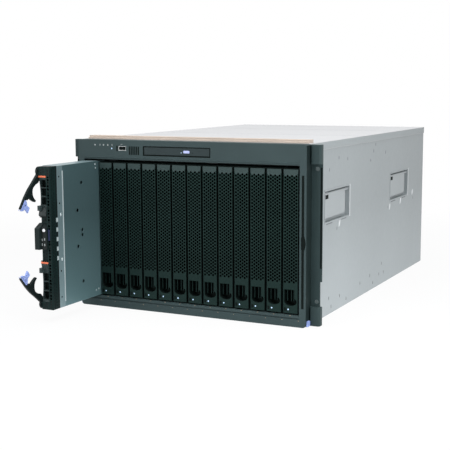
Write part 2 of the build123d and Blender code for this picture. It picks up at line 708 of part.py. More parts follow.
def impeller(level):
    """Blower wheel: hub, back plate and curved vanes."""
    _, x, z = blower_room(level)
    start = wheel_front()
    end = start + WHEEL_WIDTH
    sides = 2 * WHEEL_VANES
    wheel = RegularPolygon(WHEEL_RADIUS, sides)
    bore = RegularPolygon(SHAFT_RADIUS + PIN_CLEARANCE, FLAT_COUNT, major_radius=False)
    vanes = Sketch()
    for index in range(WHEEL_VANES):
        vane = Rectangle(WHEEL_RADIUS - WHEEL_HUB, WHEEL_VANE, rotation=WHEEL_VANE_TURN)
        middle = (WHEEL_HUB + WHEEL_RADIUS) / 2 - WHEEL_VANE_SUNK
        vanes += Rot(0, 0, index * 360 / WHEEL_VANES) * Pos(middle, 0) * vane
    body = along_y(Pos(x, z) * (RegularPolygon(WHEEL_HUB, sides) + vanes), start, end)
    body += along_y(Pos(x, z) * wheel, start, start + WHEEL_PLATE)
    return body - along_y(Pos(x, z) * bore, start, end)


def rear_bay_covers():
    """Blank covers in the four lower bays beside the blowers."""
    covers = []
    for column in ("power_left", "io_left", "io_right", "power_right"):
        x0, x1, z0, z1 = bay_room(column, "lower")
        wall = MODULE_WALL
        front = CAGE_REAR - BLANK_DEPTH
        cover = block(x0, x1, front, CAGE_REAR, z0, z1)
        cover -= block(x0 + wall, x1 - wall, front, CAGE_REAR - wall, z0 + wall, z1 - wall)
        cover -= slot_field(x0 + BLANK_MARGIN, x1 - BLANK_MARGIN, (z0 + z1) / 2, BLANK_FIELD, BLANK_SLOTS)
        covers.append(cover)
    return Compound(children=covers)


def handle_axis():
    """X and Z of the right handles' pivots."""
    barrel_x = SHELL_HALF - HANDLE_INSET - HANDLE_BARREL
    return barrel_x, HANDLE_Z + POCKET_HEIGHT / 2 - HANDLE_BARREL - HANDLE_TOP_ROOM


def handle_pocket(y):
    """Pressed pan behind a side window, with bores for the handle's journals."""
    sheet = POCKET_SHEET
    length = POCKET_LENGTH / 2
    height = POCKET_HEIGHT / 2
    low, high = HANDLE_Z - height, HANDLE_Z + height
    flange = POCKET_FLANGE
    pan = block(CAGE_HALF, INNER_HALF, y - length - sheet, y + length + sheet, low - sheet, high + sheet)
    pan += block(INNER_HALF - sheet, INNER_HALF, y - length - flange, y + length + flange,
                 low - flange, high + flange)
    pan -= block(POCKET_FLOOR, INNER_HALF, y - length, y + length, low, high)
    axis_x, axis_z = handle_axis()
    pan -= bar_y(HANDLE_JOURNAL + JOURNAL_CLEARANCE, y - length - sheet, y + length + sheet, axis_x, axis_z)
    return pan


def handle_pockets():
    """All four pockets."""
    pans = []
    for y in HANDLE_Y:
        pan = handle_pocket(y)
        pans += [pan, mirror(pan, about=Plane.YZ)]
    return Compound(children=pans)


def lifting_handle(y):
    """Folding plate handle of the right side, with pivot journals and a finger gap behind it."""
    axis_x, axis_z = handle_axis()
    half = POCKET_LENGTH / 2 - HANDLE_END_GAP
    face = SHELL_HALF - HANDLE_INSET
    middle = y - HANDLE_FINGER_GAP / 2
    plate = Pos(middle, axis_z - HANDLE_DROP / 2) * Rectangle(2 * half - HANDLE_FINGER_GAP, HANDLE_DROP)
    plate = chamfer(plate.vertices().sort_by(Axis.Y)[:2], HANDLE_CORNER)
    handle = along_x(plate, face - HANDLE_SHEET, face)
    handle += bar_y(HANDLE_BARREL, y - half, y + half, axis_x, axis_z)
    end = POCKET_LENGTH / 2 + POCKET_SHEET
    return handle + rod_y(HANDLE_JOURNAL, y - end, y + end, axis_x, axis_z)


def filler_vents():
    """Rows of long upright openings of a filler's air field."""
    low = BLADE_BOTTOM + VENT_RISE
    pitch_x = (BLADE_WIDTH - 2 * VENT_MARGIN + VENT_WEB) / VENT_COLUMNS
    pitch_z = (FILLER_TOP - VENT_DROP - low + VENT_WEB) / VENT_ROWS
    field = Sketch()
    for column in range(VENT_COLUMNS):
        x = (column - (VENT_COLUMNS - 1) / 2) * pitch_x
        for row in range(VENT_ROWS):
            z = low - VENT_WEB / 2 + (row + 0.5) * pitch_z
            field += Pos(x, z) * Rectangle(pitch_x - VENT_WEB, pitch_z - VENT_WEB)
    return field


def grip_outline():
    """Grip recess of a filler: straight above, a wide bowl below."""
    bowl_z = GRIP_LOW + GRIP_BOWL
    left = GRIP_LEFT - BLADE_WIDTH / 2
    right = BLADE_WIDTH / 2 - GRIP_RIGHT
    bulge = BLADE_WIDTH / 2 - GRIP_BULGE
    bowl = ThreePointArc((left, bowl_z), ((left + bulge) / 2, GRIP_LOW), (bulge, bowl_z))
    throat = Polyline((bulge, bowl_z), (right, bowl_z + GRIP_BOWL), (right, GRIP_HIGH), (left, GRIP_HIGH),
                      (left, bowl_z))
    return make_face(bowl + throat)


def filler():
    """Moulded blank for an empty bay, drawn at X 0."""
    half = BLADE_WIDTH / 2
    rear = BEZEL_FRONT + FILLER_DEPTH
    wall = FILLER_WALL
    bottom, top = BLADE_BOTTOM, FILLER_TOP
    face_back = BEZEL_FRONT + FILLER_FACE
    body = block(-half, half, BEZEL_FRONT, rear, bottom, top)
    body -= block(wall - half, half - wall, face_back, rear, bottom + wall, top - wall)
    grip_back = BEZEL_FRONT + GRIP_DEPTH + FILLER_FACE
    body += block(-half, half, face_back, grip_back, GRIP_LOW - GRIP_WALL, GRIP_HIGH + GRIP_WALL)
    body -= along_y(filler_vents(), BEZEL_FRONT, face_back)
    body -= along_y(grip_outline(), BEZEL_FRONT, BEZEL_FRONT + GRIP_DEPTH)
    for place in GRIP_RIB_PLACES:
        x = GRIP_LEFT - half + place
        body += block(x - GRIP_RIB / 2, x + GRIP_RIB / 2, BEZEL_FRONT + GRIP_DEPTH / 2,
                      BEZEL_FRONT + GRIP_DEPTH, GRIP_LOW + GRIP_BOWL, GRIP_HIGH)
    return body


def media_tray():
    """Folded shelf above the bays that carries the drive and the port."""
    low = BAY_CEILING + STEEL
    drive_left = DRIVE_CENTER_X - DRIVE_FACE_WIDTH / 2
    drive_right = DRIVE_CENTER_X + DRIVE_FACE_WIDTH / 2
    shelf = DRIVE_CENTER_Z - DRIVE_FACE_HEIGHT / 2
    port = USB_Z - USB_HEIGHT / 2
    left = USB_X - USB_WIDTH
    corner = drive_left - TRAY_STEP
    top = [(left - TRAY_FOOT, low + STEEL), (left, low + STEEL), (left, port), (corner, port),
           (corner, shelf), (drive_right, shelf), (drive_right, low + STEEL),
           (drive_right + TRAY_FOOT, low + STEEL)]
    under = [(drive_right + TRAY_FOOT, low), (drive_right - STEEL, low), (drive_right - STEEL, shelf - STEEL),
             (corner + STEEL, shelf - STEEL), (corner + STEEL, shelf - 2 * STEEL),
             (corner - STEEL, shelf - 2 * STEEL), (corner - STEEL, port - STEEL),
             (left + STEEL, port - STEEL), (left + STEEL, low), (left - TRAY_FOOT, low)]
    outline = make_face(Polyline(top + under, close=True))
    return along_y(outline, BEZEL_FRONT + BEZEL_FACE, BEZEL_FRONT + BEZEL_FACE + TRAY_DEPTH)


def usb_port():
    """Pressed metal shield of the port with its tongue."""
    front = BEZEL_FRONT + USB_SHEET
    end = front + USB_DEPTH
    outer = Rectangle(USB_WIDTH, USB_HEIGHT)
    inner = Rectangle(USB_WIDTH - 2 * USB_SHEET, USB_HEIGHT - 2 * USB_SHEET)
    port = along_y(Pos(USB_X, USB_Z) * (outer - inner), front, end)
    port += along_y(Pos(USB_X, USB_Z) * outer, end - USB_SHEET, end)
    tongue = Pos(USB_X, USB_Z + USB_TONGUE / 2) * Rectangle(USB_WIDTH - 4 * USB_SHEET, USB_TONGUE)
    return port + along_y(tongue, front + USB_SHEET, end)


def drive_case_front():
    """Plane where the drive's case starts, just behind its moulded face."""
    return BEZEL_FRONT + DRIVE_FACE + FIT


def optical_drive():
    """Pressed case of the slim drive, open at the front for the disc tray."""
    half = DRIVE_FACE_WIDTH / 2
    low = DRIVE_CENTER_Z - DRIVE_FACE_HEIGHT / 2
    high = DRIVE_CENTER_Z + DRIVE_FACE_HEIGHT / 2
    front = drive_case_front()
    sheet = DRIVE_SHEET
    case = block(DRIVE_CENTER_X - half, DRIVE_CENTER_X + half, front, front + DRIVE_DEPTH, low, high)
    return case - block(DRIVE_CENTER_X - half + sheet, DRIVE_CENTER_X + half - sheet, front,
                        front + DRIVE_DEPTH - sheet, low + sheet, high - sheet)


def disc_tray():
    """Sliding disc drawer with its moulded face and a recess for the disc."""
    half = DRIVE_FACE_WIDTH / 2
    low = DRIVE_CENTER_Z - DRIVE_FACE_HEIGHT / 2
    high = DRIVE_CENTER_Z + DRIVE_FACE_HEIGHT / 2
    face_back = BEZEL_FRONT + DRIVE_FACE
    sheet = DRIVE_SHEET + FIT
    face = block(DRIVE_CENTER_X - half, DRIVE_CENTER_X + half, BEZEL_FRONT, face_back, low, high)
    drawer = block(DRIVE_CENTER_X - half + sheet, DRIVE_CENTER_X + half - sheet, face_back,
                   drive_case_front() + DRIVE_DEPTH - sheet - FIT, low + sheet, DRIVE_CENTER_Z)
    disc_y = drive_case_front() + DISC_RADIUS + DISC_MARGIN
    recess = Pos(DRIVE_CENTER_X, disc_y, DRIVE_CENTER_Z) * Cylinder(DISC_RADIUS, 2 * DISC_RECESS)
    hub = extrude(RegularPolygon(DISC_HUB, FLAT_COUNT), amount=DISC_RECESS)
    hub = Pos(DRIVE_CENTER_X, disc_y, DRIVE_CENTER_Z - DISC_RECESS) * hub
    tray = face + (drawer - recess) + hub
    opening = Pos(EJECT_X, DRIVE_CENTER_Z) * Rectangle(EJECT_WIDTH + FIT, EJECT_HEIGHT + FIT)
    return tray - along_y(opening, BEZEL_FRONT, BEZEL_FRONT + EJECT_STEM)


def eject_button():
    """Oblong button in the face of the drive."""
    outline = Rectangle(EJECT_WIDTH, EJECT_HEIGHT)
    outline = Pos(EJECT_X, DRIVE_CENTER_Z) * chamfer(outline.vertices(), EJECT_CORNER)
    return along_y(outline, BEZEL_FRONT - EJECT_PROUD, BEZEL_FRONT + EJECT_STEM - 2 * EJECT_PROUD)


def standoff_places():
    """Y and Z of the posts that carry the system board."""
    start = BLADE_FRONT + BOARD_START + STANDOFF_MARGIN
    end = BLADE_REAR - STEEL - BOARD_MARGIN - STANDOFF_MARGIN
    pitch = (end - start) / (STANDOFF_ROWS - 1)
    heights = (BLADE_BOTTOM + STANDOFF_MARGIN, BLADE_TOP - STANDOFF_MARGIN)
    return [(start + row * pitch, z) for row in range(STANDOFF_ROWS) for z in heights]


def hook_tabs():
    """Tabs of the tray's strip that hook over the moulded front."""
    back = BLADE_FRONT + FRONT_DEPTH
    tabs = Part()
    for index in range(HOOK_TAB_COUNT):
        z = BLADE_MIDDLE - HOOK_TABS_DROP + (index - (HOOK_TAB_COUNT - 1) / 2) * HOOK_TAB_PITCH
        tabs += block(BLADE_RIGHT - STEEL, BLADE_RIGHT, back - HOOK_TAB_LENGTH, back,
                      z - HOOK_TAB_HEIGHT / 2, z + HOOK_TAB_HEIGHT / 2)
    return tabs


def blade_tray():
    """Folded steel tray of the blade with posts for its board."""
    start = BLADE_FRONT + FRONT_DEPTH
    inner = BLADE_LEFT + STEEL
    edge = BLADE_RIGHT - STEEL
    tray = block(BLADE_LEFT, edge, start, BLADE_REAR, BLADE_BOTTOM, BLADE_TOP)
    tray -= block(inner, edge, start, BLADE_REAR - STEEL, BLADE_BOTTOM + STEEL, BLADE_TOP - STEEL)
    strip = BLADE_FRONT + COVER_START
    tray += block(edge, BLADE_RIGHT, start, strip, BLADE_BOTTOM, BLADE_TOP)
    board_x = inner + BOARD_STANDOFF
    for z in PLUG_HEIGHTS:
        high = PLUG_HEIGHT / 2 + PLUG_ROOM
        tray -= block(board_x, BOARD_FACE + PLUG_WIDTH + PLUG_ROOM, BLADE_REAR - STEEL, BLADE_REAR,
                      z - high, z + high)
    for y, z in standoff_places():
        tray += along_x(Pos(y, z) * RegularPolygon(STANDOFF_RADIUS, 6), inner, board_x)
    for inset in STRIP_HOLE_INSETS:
        for z in (BLADE_BOTTOM + inset, BLADE_TOP - inset):
            tray -= punch_x(STRIP_HOLE, edge, BLADE_RIGHT, BLADE_FRONT + STRIP_HOLE_BACK, z)
    return tray + hook_tabs()


def cover_holes():
    """Place behind the front, middle height and half distance of the cover's pairs of holes."""
    return [(COVER_HOLE_BACK, BLADE_MIDDLE, BLADE_HEIGHT / 2 - COVER_HOLE_INSET),
            (COVER_HOLE_FRONT, BLADE_MIDDLE + COVER_HOLE_RISE, COVER_HOLE_STEP),
            (COVER_HOLE_BACK, BLADE_MIDDLE, COVER_HOLE_PAIR / 2)]


def blade_cover():
    """Flat steel cover of the blade behind its front strip."""
    inner = BLADE_RIGHT - STEEL
    cover = block(inner, BLADE_RIGHT, BLADE_FRONT + COVER_START, BLADE_REAR, BLADE_BOTTOM, BLADE_TOP)
    for back, middle, reach in cover_holes():
        for z in (middle - reach, middle + reach):
            cover -= punch_x(COVER_HOLE, inner, BLADE_RIGHT, BLADE_FRONT + back, z)
    return cover


def disk_levels():
    """Low edges of the lower and the upper drive."""
    return {"lower": LOWER_DISK_LOW, "upper": UPPER_DISK_LOW}


def air_comb(x, z_low, z_high):
    """Column of long six-sided air holes."""
    count = int((z_high - z_low) / COMB_PITCH)
    start = (z_low + z_high - (count - 1) * COMB_PITCH) / 2
    half_x = COMB_WIDTH / 2
    half_z = (COMB_PITCH - COMB_WEB) / 2
    shoulder = half_z - COMB_TIP
    corners = [(0, -half_z), (half_x, -shoulder), (half_x, shoulder), (0, half_z), (-half_x, shoulder),
               (-half_x, -shoulder)]
    hole = make_face(Polyline(corners, close=True))
    column = Sketch()
    for index in range(count):
        column += Pos(x, start + index * COMB_PITCH) * hole
    return column


def lever_channel(level):
    """Slot in the blade's front that takes a closed lever."""
    low, high = (HUMP_HIGH, BLADE_TOP) if level == "upper" else (BLADE_BOTTOM, HUMP_LOW)
    back = BLADE_FRONT + FRONT_DEPTH
    return block(BLADE_LEFT + STEEL, LEVER_RIGHT + FIT, BLADE_FRONT, back, low, high)


def blade_front():
    """Moulded front of the blade with lever slots, drive mouths and an air grille."""
    back = BLADE_FRONT + FRONT_DEPTH
    wall = FRONT_WALL
    front = block(BLADE_LEFT + STEEL, BLADE_RIGHT, BLADE_FRONT, back, BLADE_BOTTOM, BLADE_TOP)
    for low in disk_levels().values():
        high = low + DISK_HEIGHT
        front -= block(DISK_LEFT - FIT, DISK_RIGHT + FIT, BLADE_FRONT, back, low - FIT, high + FIT)
    grille = BLADE_FRONT + GRILLE_SETBACK
    front -= block(BLADE_LEFT + STEEL, DISK_RIGHT + FIT, BLADE_FRONT, grille,
                   LOWER_DISK_HIGH + GRILLE_MARGIN, UPPER_DISK_LOW - GRILLE_MARGIN)
    hollow_low, hollow_high = HUMP_LOW + HUMP_RIM, HUMP_HIGH - HUMP_RIM
    front -= block(DISK_LEFT, BLADE_RIGHT - wall, grille + wall, back, hollow_low, hollow_high)
    front -= block(DISK_RIGHT + FIT + wall, BLADE_RIGHT - wall, BLADE_FRONT + wall, back,
                   BLADE_BOTTOM + COMB_MARGIN, BLADE_TOP - COMB_MARGIN)
    comb = air_comb(BLADE_RIGHT - wall - COMB_WIDTH / 2, BLADE_BOTTOM + COMB_MARGIN, BLADE_TOP - COMB_MARGIN)
    front -= along_y(comb, BLADE_FRONT, BLADE_FRONT + wall)
    front -= hook_tabs()
    for level, z in (("upper", UPPER_PIVOT_Z), ("lower", LOWER_PIVOT_Z)):
        front -= lever_channel(level)
        front -= punch_x(LEVER_PIN + PIN_CLEARANCE, LEVER_LEFT, LEVER_RIGHT + PIN_SEAT, PIVOT_Y, z)
    return front


def lever_pins():
    """Steel pins on which the two levers turn."""
    left = BLADE_LEFT + STEEL
    right = LEVER_RIGHT + PIN_SEAT
    heights = (UPPER_PIVOT_Z, LOWER_PIVOT_Z)
    return Compound(children=[rod_x(LEVER_PIN, left, right, PIVOT_Y, z) for z in heights])


def lever_outline():
    """Side view of a closed lever: first outwards from its pivot, then along the arm."""
    edges = [ThreePointArc(*LEVER_BACK), Polyline(LEVER_TIP), ThreePointArc(*LEVER_HOOK_TOP),
             Line(*LEVER_HOOK_END), ThreePointArc(*LEVER_HOOK_UNDER), ThreePointArc(*LEVER_THROAT),
             Polyline(LEVER_HEEL)]
    arm = make_face(Wire(Curve() + edges))
    return arm + Circle(LEVER_EYE) - Circle(LEVER_PIN + PIN_CLEARANCE)


def release_outline():
    """Side view of the blue release at a lever's end."""
    outline = make_face(Polyline(RELEASE_POINTS, close=True))
    return outline - Pos(*RELEASE_PIVOT) * Circle(RELEASE_PIN + PIN_CLEARANCE)


def lever_place(level):
    """Pivot height, turn to the open rest pose and direction of a lever's arm."""
    if level == "upper":
        return UPPER_PIVOT_Z, -UPPER_LEVER_OPEN, -1
    return LOWER_PIVOT_Z, LOWER_LEVER_OPEN, 1


def set_lever(solid, level):
    """Bring a lever piece from its closed outline to its open rest pose."""
    z, turn, _ = lever_place(level)
    return Pos(0, PIVOT_Y, z) * Rot(turn, 0, 0) * solid


def lever_sheet(outline, level, x0, x1):
    """Outline given outwards and along the arm, as a plate between x0 and x1."""
    _, _, direction = lever_place(level)
    turned = mirror(outline, about=Plane.YZ)
    if direction < 0:
        turned = mirror(turned, about=Plane.XZ)
    return along_x(turned, x0, x1)


def lever(level):
    """Ejector lever with its hook, and the cheek and stub that carry the release."""
    plate = lever_sheet(lever_outline(), level, LEVER_LEFT, LEVER_RIGHT)
    cheek = make_face(Polyline(LEVER_CHEEK, close=True))
    plate += lever_sheet(cheek, level, LEVER_LEFT, LEVER_LEFT + CHEEK_SHEET)
    stub = Pos(*RELEASE_PIVOT) * RegularPolygon(RELEASE_PIN, FLAT_COUNT)
    plate += lever_sheet(stub, level, LEVER_LEFT, LEVER_RIGHT)
    return set_lever(plate, level)


def lever_release(level):
    """Blue release on the stub at the lever's end."""
    plate = lever_sheet(release_outline(), level, LEVER_LEFT + CHEEK_SHEET + FIT, LEVER_RIGHT)
    return set_lever(plate, level)


def latch_room(level):
    """Low and high edge of a drive's orange latch."""
    high = disk_levels()[level] + DISK_HEIGHT
    return high - LATCH_HEIGHT, high


def disk_drive(level):
    """Disk in its carrier, with three windows and a pull tab in its face."""
    low = disk_levels()[level]
    high = low + DISK_HEIGHT
    face_back = BLADE_FRONT + CARRIER_FACE
    latch_low, _ = latch_room(level)
    drive = block(DISK_LEFT, DISK_RIGHT, BLADE_FRONT, face_back, low, latch_low - FIT)
    latch_back = BLADE_FRONT + LATCH_DEPTH + LATCH_TRAVEL + FIT
    drive += block(DISK_LEFT, DISK_RIGHT, latch_back, BLADE_FRONT + DISK_DEPTH, low, high)
    if level == "upper":
        tab_low = low + PULL_TAB_INSET
        window_low = tab_low + PULL_TAB_HEIGHT
        window_high = latch_low - WINDOW_MARGIN
    else:
        tab_low = high - PULL_TAB_INSET - PULL_TAB_HEIGHT
        window_low = low + WINDOW_MARGIN
        window_high = tab_low
    bottom = (BLADE_FRONT, low)
    top = (BLADE_FRONT, latch_low)
    bow = ThreePointArc(bottom, (BLADE_FRONT + CARRIER_SAG, (low + latch_low) / 2), top)
    drive -= along_x(make_face(bow + Line(top, bottom)), DISK_LEFT, DISK_RIGHT)
    pitch = (window_high - window_low) / WINDOW_COUNT
    for index in range(WINDOW_COUNT):
        z = window_low + (index + 0.5) * pitch
        window = Rectangle(DISK_RIGHT - DISK_LEFT - 2 * WINDOW_SIDE, pitch - WINDOW_BAR)
        window = Pos(DISK_MIDDLE, z) * window
        drive -= along_y(window, BLADE_FRONT, BLADE_FRONT + WINDOW_DEPTH)
    return drive + block(DISK_LEFT, DISK_LEFT + PULL_TAB_WIDTH, BLADE_FRONT - PULL_TAB,
                         BLADE_FRONT + CARRIER_SAG, tab_low, tab_low + PULL_TAB_HEIGHT)


def drive_latch(level):
    """Orange touch latch at the top of a carrier."""
    low, high = latch_room(level)
    nose = BLADE_FRONT - LATCH_PROUD
    back = BLADE_FRONT + LATCH_DEPTH
    corners = [(nose, low), (back, low), (back, high), (nose + LATCH_SLANT, high)]
    return along_x(make_face(Polyline(corners, close=True)), DISK_LEFT, DISK_RIGHT)


def raised_form(proud, x0, x1):
    """Part of the control housing in front of the grille, with a slanted top."""
    nose = BLADE_FRONT - proud
    base = BLADE_FRONT + GRILLE_SETBACK
    corners = [(base, HUMP_LOW), (nose, HUMP_LOW), (nose, HUMP_HIGH - HUMP_CHAMFER), (base, HUMP_HIGH)]
    return along_x(make_face(Polyline(corners, close=True)), x0, x1)


def control_panel():
    """Control housing between the drives: a ridge on the left and a lower face with the button."""
    left = BLADE_LEFT + STEEL
    ridge = left + RIDGE_WIDTH
    panel = raised_form(HUMP_PROUD, left, ridge) + raised_form(PANEL_PROUD, ridge, DISK_RIGHT + FIT)
    face = BLADE_FRONT - PANEL_PROUD
    bore_end = face + BUTTON_DEPTH + BUTTON_PROUD
    bore_z = HUMP_HIGH - BUTTON_DROP
    return panel - bar_y(BUTTON_RADIUS + BUTTON_CLEARANCE, face, bore_end, button_x(), bore_z)


def button_x():
    """Middle of the housing's lower face."""
    return (BLADE_LEFT + STEEL + RIDGE_WIDTH + DISK_RIGHT + FIT) / 2


def power_button():
    """Round power button in the control housing."""
    face = BLADE_FRONT - PANEL_PROUD
    end = face + BUTTON_DEPTH - BUTTON_PROUD
    return rod_y(BUTTON_RADIUS, face - BUTTON_PROUD, end, button_x(), HUMP_HIGH - BUTTON_DROP)


def system_board():
    """Printed board on the tray's posts."""
    end = BLADE_REAR - STEEL - BOARD_MARGIN
    return block(BOARD_FACE - BOARD_SHEET, BOARD_FACE, BLADE_FRONT + BOARD_START, end,
                 BLADE_BOTTOM + BOARD_MARGIN, BLADE_TOP - BOARD_MARGIN)


def heat_sink(z):
    """Finned heat sink, its fins along the air flow."""
    low = z - SINK_HEIGHT / 2
    depth = PART_ROOM - SINK_CLEAR
    pitch = (SINK_HEIGHT - SINK_FIN) / (SINK_FINS - 1)
    comb = Pos(BOARD_FACE + SINK_BASE / 2, z) * Rectangle(SINK_BASE, SINK_HEIGHT)
    for index in range(SINK_FINS):
        fin_z = low + SINK_FIN / 2 + index * pitch
        comb += Pos(BOARD_FACE + depth / 2, fin_z) * Rectangle(depth, SINK_FIN)
    start = BLADE_FRONT + BOARD_START + SINK_START
    return along_y(comb, start, start + SINK_LENGTH)


def heat_sinks():
    """One sink for each of the two processors."""
    half = SINK_MARGIN + SINK_HEIGHT / 2
    return Compound(children=[heat_sink(BLADE_BOTTOM + half), heat_sink(BLADE_TOP - half)])


def memory_modules():
    """Row of memory modules behind the heat sinks."""
    start = BLADE_FRONT + BOARD_START + SINK_START + SINK_LENGTH + DIMM_GAP
    edge = BOARD_FACE + PART_ROOM - DIMM_CLEAR
    sticks = []
    for index in range(DIMM_COUNT):
        z = BLADE_MIDDLE + (index - (DIMM_COUNT - 1) / 2) * DIMM_PITCH
        sticks.append(block(BOARD_FACE, edge, start, BLADE_REAR - DIMM_REAR_GAP,
                            z - DIMM_SHEET / 2, z + DIMM_SHEET / 2))
    return Compound(children=sticks)


def blade_connectors():
    """Plugs on the rear edge of the board that meet the midplane."""
    plugs = []
    for z in PLUG_HEIGHTS:
        plugs.append(block(BOARD_FACE, BOARD_FACE + PLUG_WIDTH, BLADE_REAR - PLUG_LENGTH,
                           BLADE_REAR + PLUG_PROUD, z - PLUG_HEIGHT / 2, z + PLUG_HEIGHT / 2))
    return Compound(children=plugs)


def build_nodes():
    """Every node of the chassis under its name."""
    nodes = {"chassis_shell": chassis_shell(), "top_cover": top_cover(), "handle_pockets": handle_pockets(),
             "front_bezel": front_bezel(), "rack_ears": rack_ears(), "seal_strip": seal_strip(),
             "bezel_releases": bezel_releases(), "midplane": midplane(), "rear_cage": rear_cage(),
             "rear_bay_covers": rear_bay_covers(), "media_tray": media_tray(), "usb_port": usb_port(),
             "optical_drive": optical_drive(), "disc_tray": disc_tray(), "eject_button": eject_button()}
    nodes["upper_bay_guide"] = bay_guide(BAY_CEILING, BAY_CEILING - GUIDE_RIB_HEIGHT)
    nodes["lower_bay_guide"] = bay_guide(BAY_FLOOR - STEEL, BAY_FLOOR)
    nodes.update({"blade_tray": blade_tray(), "blade_cover": blade_cover(), "blade_front": blade_front(),
                  "control_panel": control_panel(), "system_board": system_board(),
                  "heat_sinks": heat_sinks(), "memory_modules": memory_modules(),
                  "blade_connectors": blade_connectors(), "lever_pins": lever_pins(),
                  "power_button": power_button()})
    for level in ("upper", "lower"):
        nodes[level + "_lever"] = lever(level)
        nodes[level + "_lever_release"] = lever_release(level)
        nodes[level + "_drive"] = disk_drive(level)
        nodes[level + "_drive_latch"] = drive_latch(level)
        nodes[level + "_blower"] = blower(level)
        nodes[level + "_impeller"] = impeller(level)
    blank = filler()
    for bay in range(1, BAY_COUNT + 1):
        if bay != BLADE_BAY:
            nodes["bay_filler_%02d" % bay] = Pos(bay_x(bay), 0, 0) * blank
    for place, y in zip(("front", "rear"), HANDLE_Y):
        handle = lifting_handle(y)
        nodes[place + "_right_handle"] = handle
        nodes[place + "_left_handle"] = mirror(handle, about=Plane.YZ)
    for side in ("left", "right"):
        nodes[side + "_power_module"] = power_module("power_" + side)
    nodes["switch_module"] = io_module("io_left", SWITCH_PORT_WIDTH)
    nodes["management_module"] = io_module("io_right", MANAGEMENT_PORT_WIDTH)
    return nodes


os.makedirs("parts", exist_ok=True)
for name, shape in build_nodes().items():
    export_step(shape, "parts/" + name + ".step")
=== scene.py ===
import json
import math

import bmesh
import bpy
from mathutils import Matrix, Vector


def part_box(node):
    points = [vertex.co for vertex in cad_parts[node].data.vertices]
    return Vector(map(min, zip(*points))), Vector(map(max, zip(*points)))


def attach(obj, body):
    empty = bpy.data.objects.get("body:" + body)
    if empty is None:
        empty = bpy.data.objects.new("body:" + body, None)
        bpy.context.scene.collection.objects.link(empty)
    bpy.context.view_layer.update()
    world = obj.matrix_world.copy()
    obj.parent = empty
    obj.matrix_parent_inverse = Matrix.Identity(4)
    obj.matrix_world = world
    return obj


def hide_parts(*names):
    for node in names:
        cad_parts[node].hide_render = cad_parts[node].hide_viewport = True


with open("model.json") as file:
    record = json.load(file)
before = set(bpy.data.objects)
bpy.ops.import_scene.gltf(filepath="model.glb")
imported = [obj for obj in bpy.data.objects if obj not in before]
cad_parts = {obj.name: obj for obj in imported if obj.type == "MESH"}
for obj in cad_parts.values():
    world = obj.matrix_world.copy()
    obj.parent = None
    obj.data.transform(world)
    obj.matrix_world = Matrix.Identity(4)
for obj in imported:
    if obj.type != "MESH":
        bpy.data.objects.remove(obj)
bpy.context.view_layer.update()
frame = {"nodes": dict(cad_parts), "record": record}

# Sizes are in millimetres until a mesh is made
MM = 0.001
IMAGE_SIDE = 450

# Camera, in the frame of the part
CAMERA_PLACE = (821.3, -1529.4, 400.8)
CAMERA_YAW = math.radians(26.44)
CAMERA_PITCH = math.radians(8.01)
CAMERA_ROLL = math.radians(-0.26)
CAMERA_FOCAL_PIXELS = 995.9
CAMERA_CLIP_METRES = 50.0
SENSOR = 36.0

# Lights: place, target and side in metres, power in watts
LIGHTS = (
    ("top_light", (0.3, -0.2, 2.6), (0.0, 0.2, 0.2), 2.4, 75.0),
    ("front_light", (-1.2, -2.6, 1.0), (0.0, 0.0, 0.15), 1.8, 33.0),
    ("side_light", (1.2, -0.5, 0.5), (0.22, 0.0, 0.10), 0.8, 9.5),
)

# Surroundings: the bright direction, and the tones away from it and towards it
SKY_TOWARD = (-0.4, 0.3, 0.5)
SKY_DIM = (0.21, 0.225, 0.235)
SKY_BRIGHT = (0.72, 0.73, 0.75)
SKY_SPAN = (0.0, 0.6)

# Floor, the light that it throws up, and the floor light painted into surface colours: lengths in metres,
# apart from the half side
FLOOR_HALF = 6000.0
FLOOR_BRIGHT = (0.35, -0.35, 0.0)
FLOOR_REACH = 1.5
FLOOR_NEAR_TONE = (0.82, 0.82, 0.83)
FLOOR_FAR_TONE = (0.22, 0.24, 0.25)
FLOOR_TONE_SPAN = (0.1, 1.0)
FLOOR_FADE = (0.4, 1.6)
FLOOR_WHITE = (0.93, 1.0)
# Heights in metres over which painted floor light fades from full to none in a surface's colour
PAINTED_LOW_LIGHT_FROM = 0.0
PAINTED_LOW_LIGHT_TO = 0.18

# Finishes: range of a noise, uneven gloss, and the grain's detail and depth in metres
NOISE_LOW = 0.3
NOISE_HIGH = 0.7
GLOSS_VARY = 0.12
GRAIN_DETAIL = 2.0
GRAIN_DEPTH = 0.0004

# Rounded edges, with the weld's reach in metres
BEVEL_SEGMENTS = 2
BEVEL_ANGLE = math.radians(40)
SOFT_EDGE = 0.2
WELD_REACH = 0.00001

# Thin trim: depth in the face that carries it, height above that face, flats of a small disc
TRIM_SUNK = 0.1
PRINT_SUNK = 0.2
PRINT_PROUD = 0.2
SMALL_FLATS = 12

# Bays, counted from the left
BAYS = range(1, 15)
FILLED_BAYS = range(2, 15)
BAY_PITCH = 30.0
MIDDLE_BAY = 7.5

# Bay fillers, across from the middle of a bay
FILLER_WIDTH = 29.0
FILLER_EDGE = 1.6
FILLER_GAP_DEPTH = 5.0
FILLER_SKIN = 1.6
MERGE_REACH = 0.001
HOLE_COLUMN_PITCH = 3.95
HOLE_PITCH = 5.6
HOLE_HALF = 1.85
FIELD_LOW = 71.5
FIELD_HIGH = 257.0
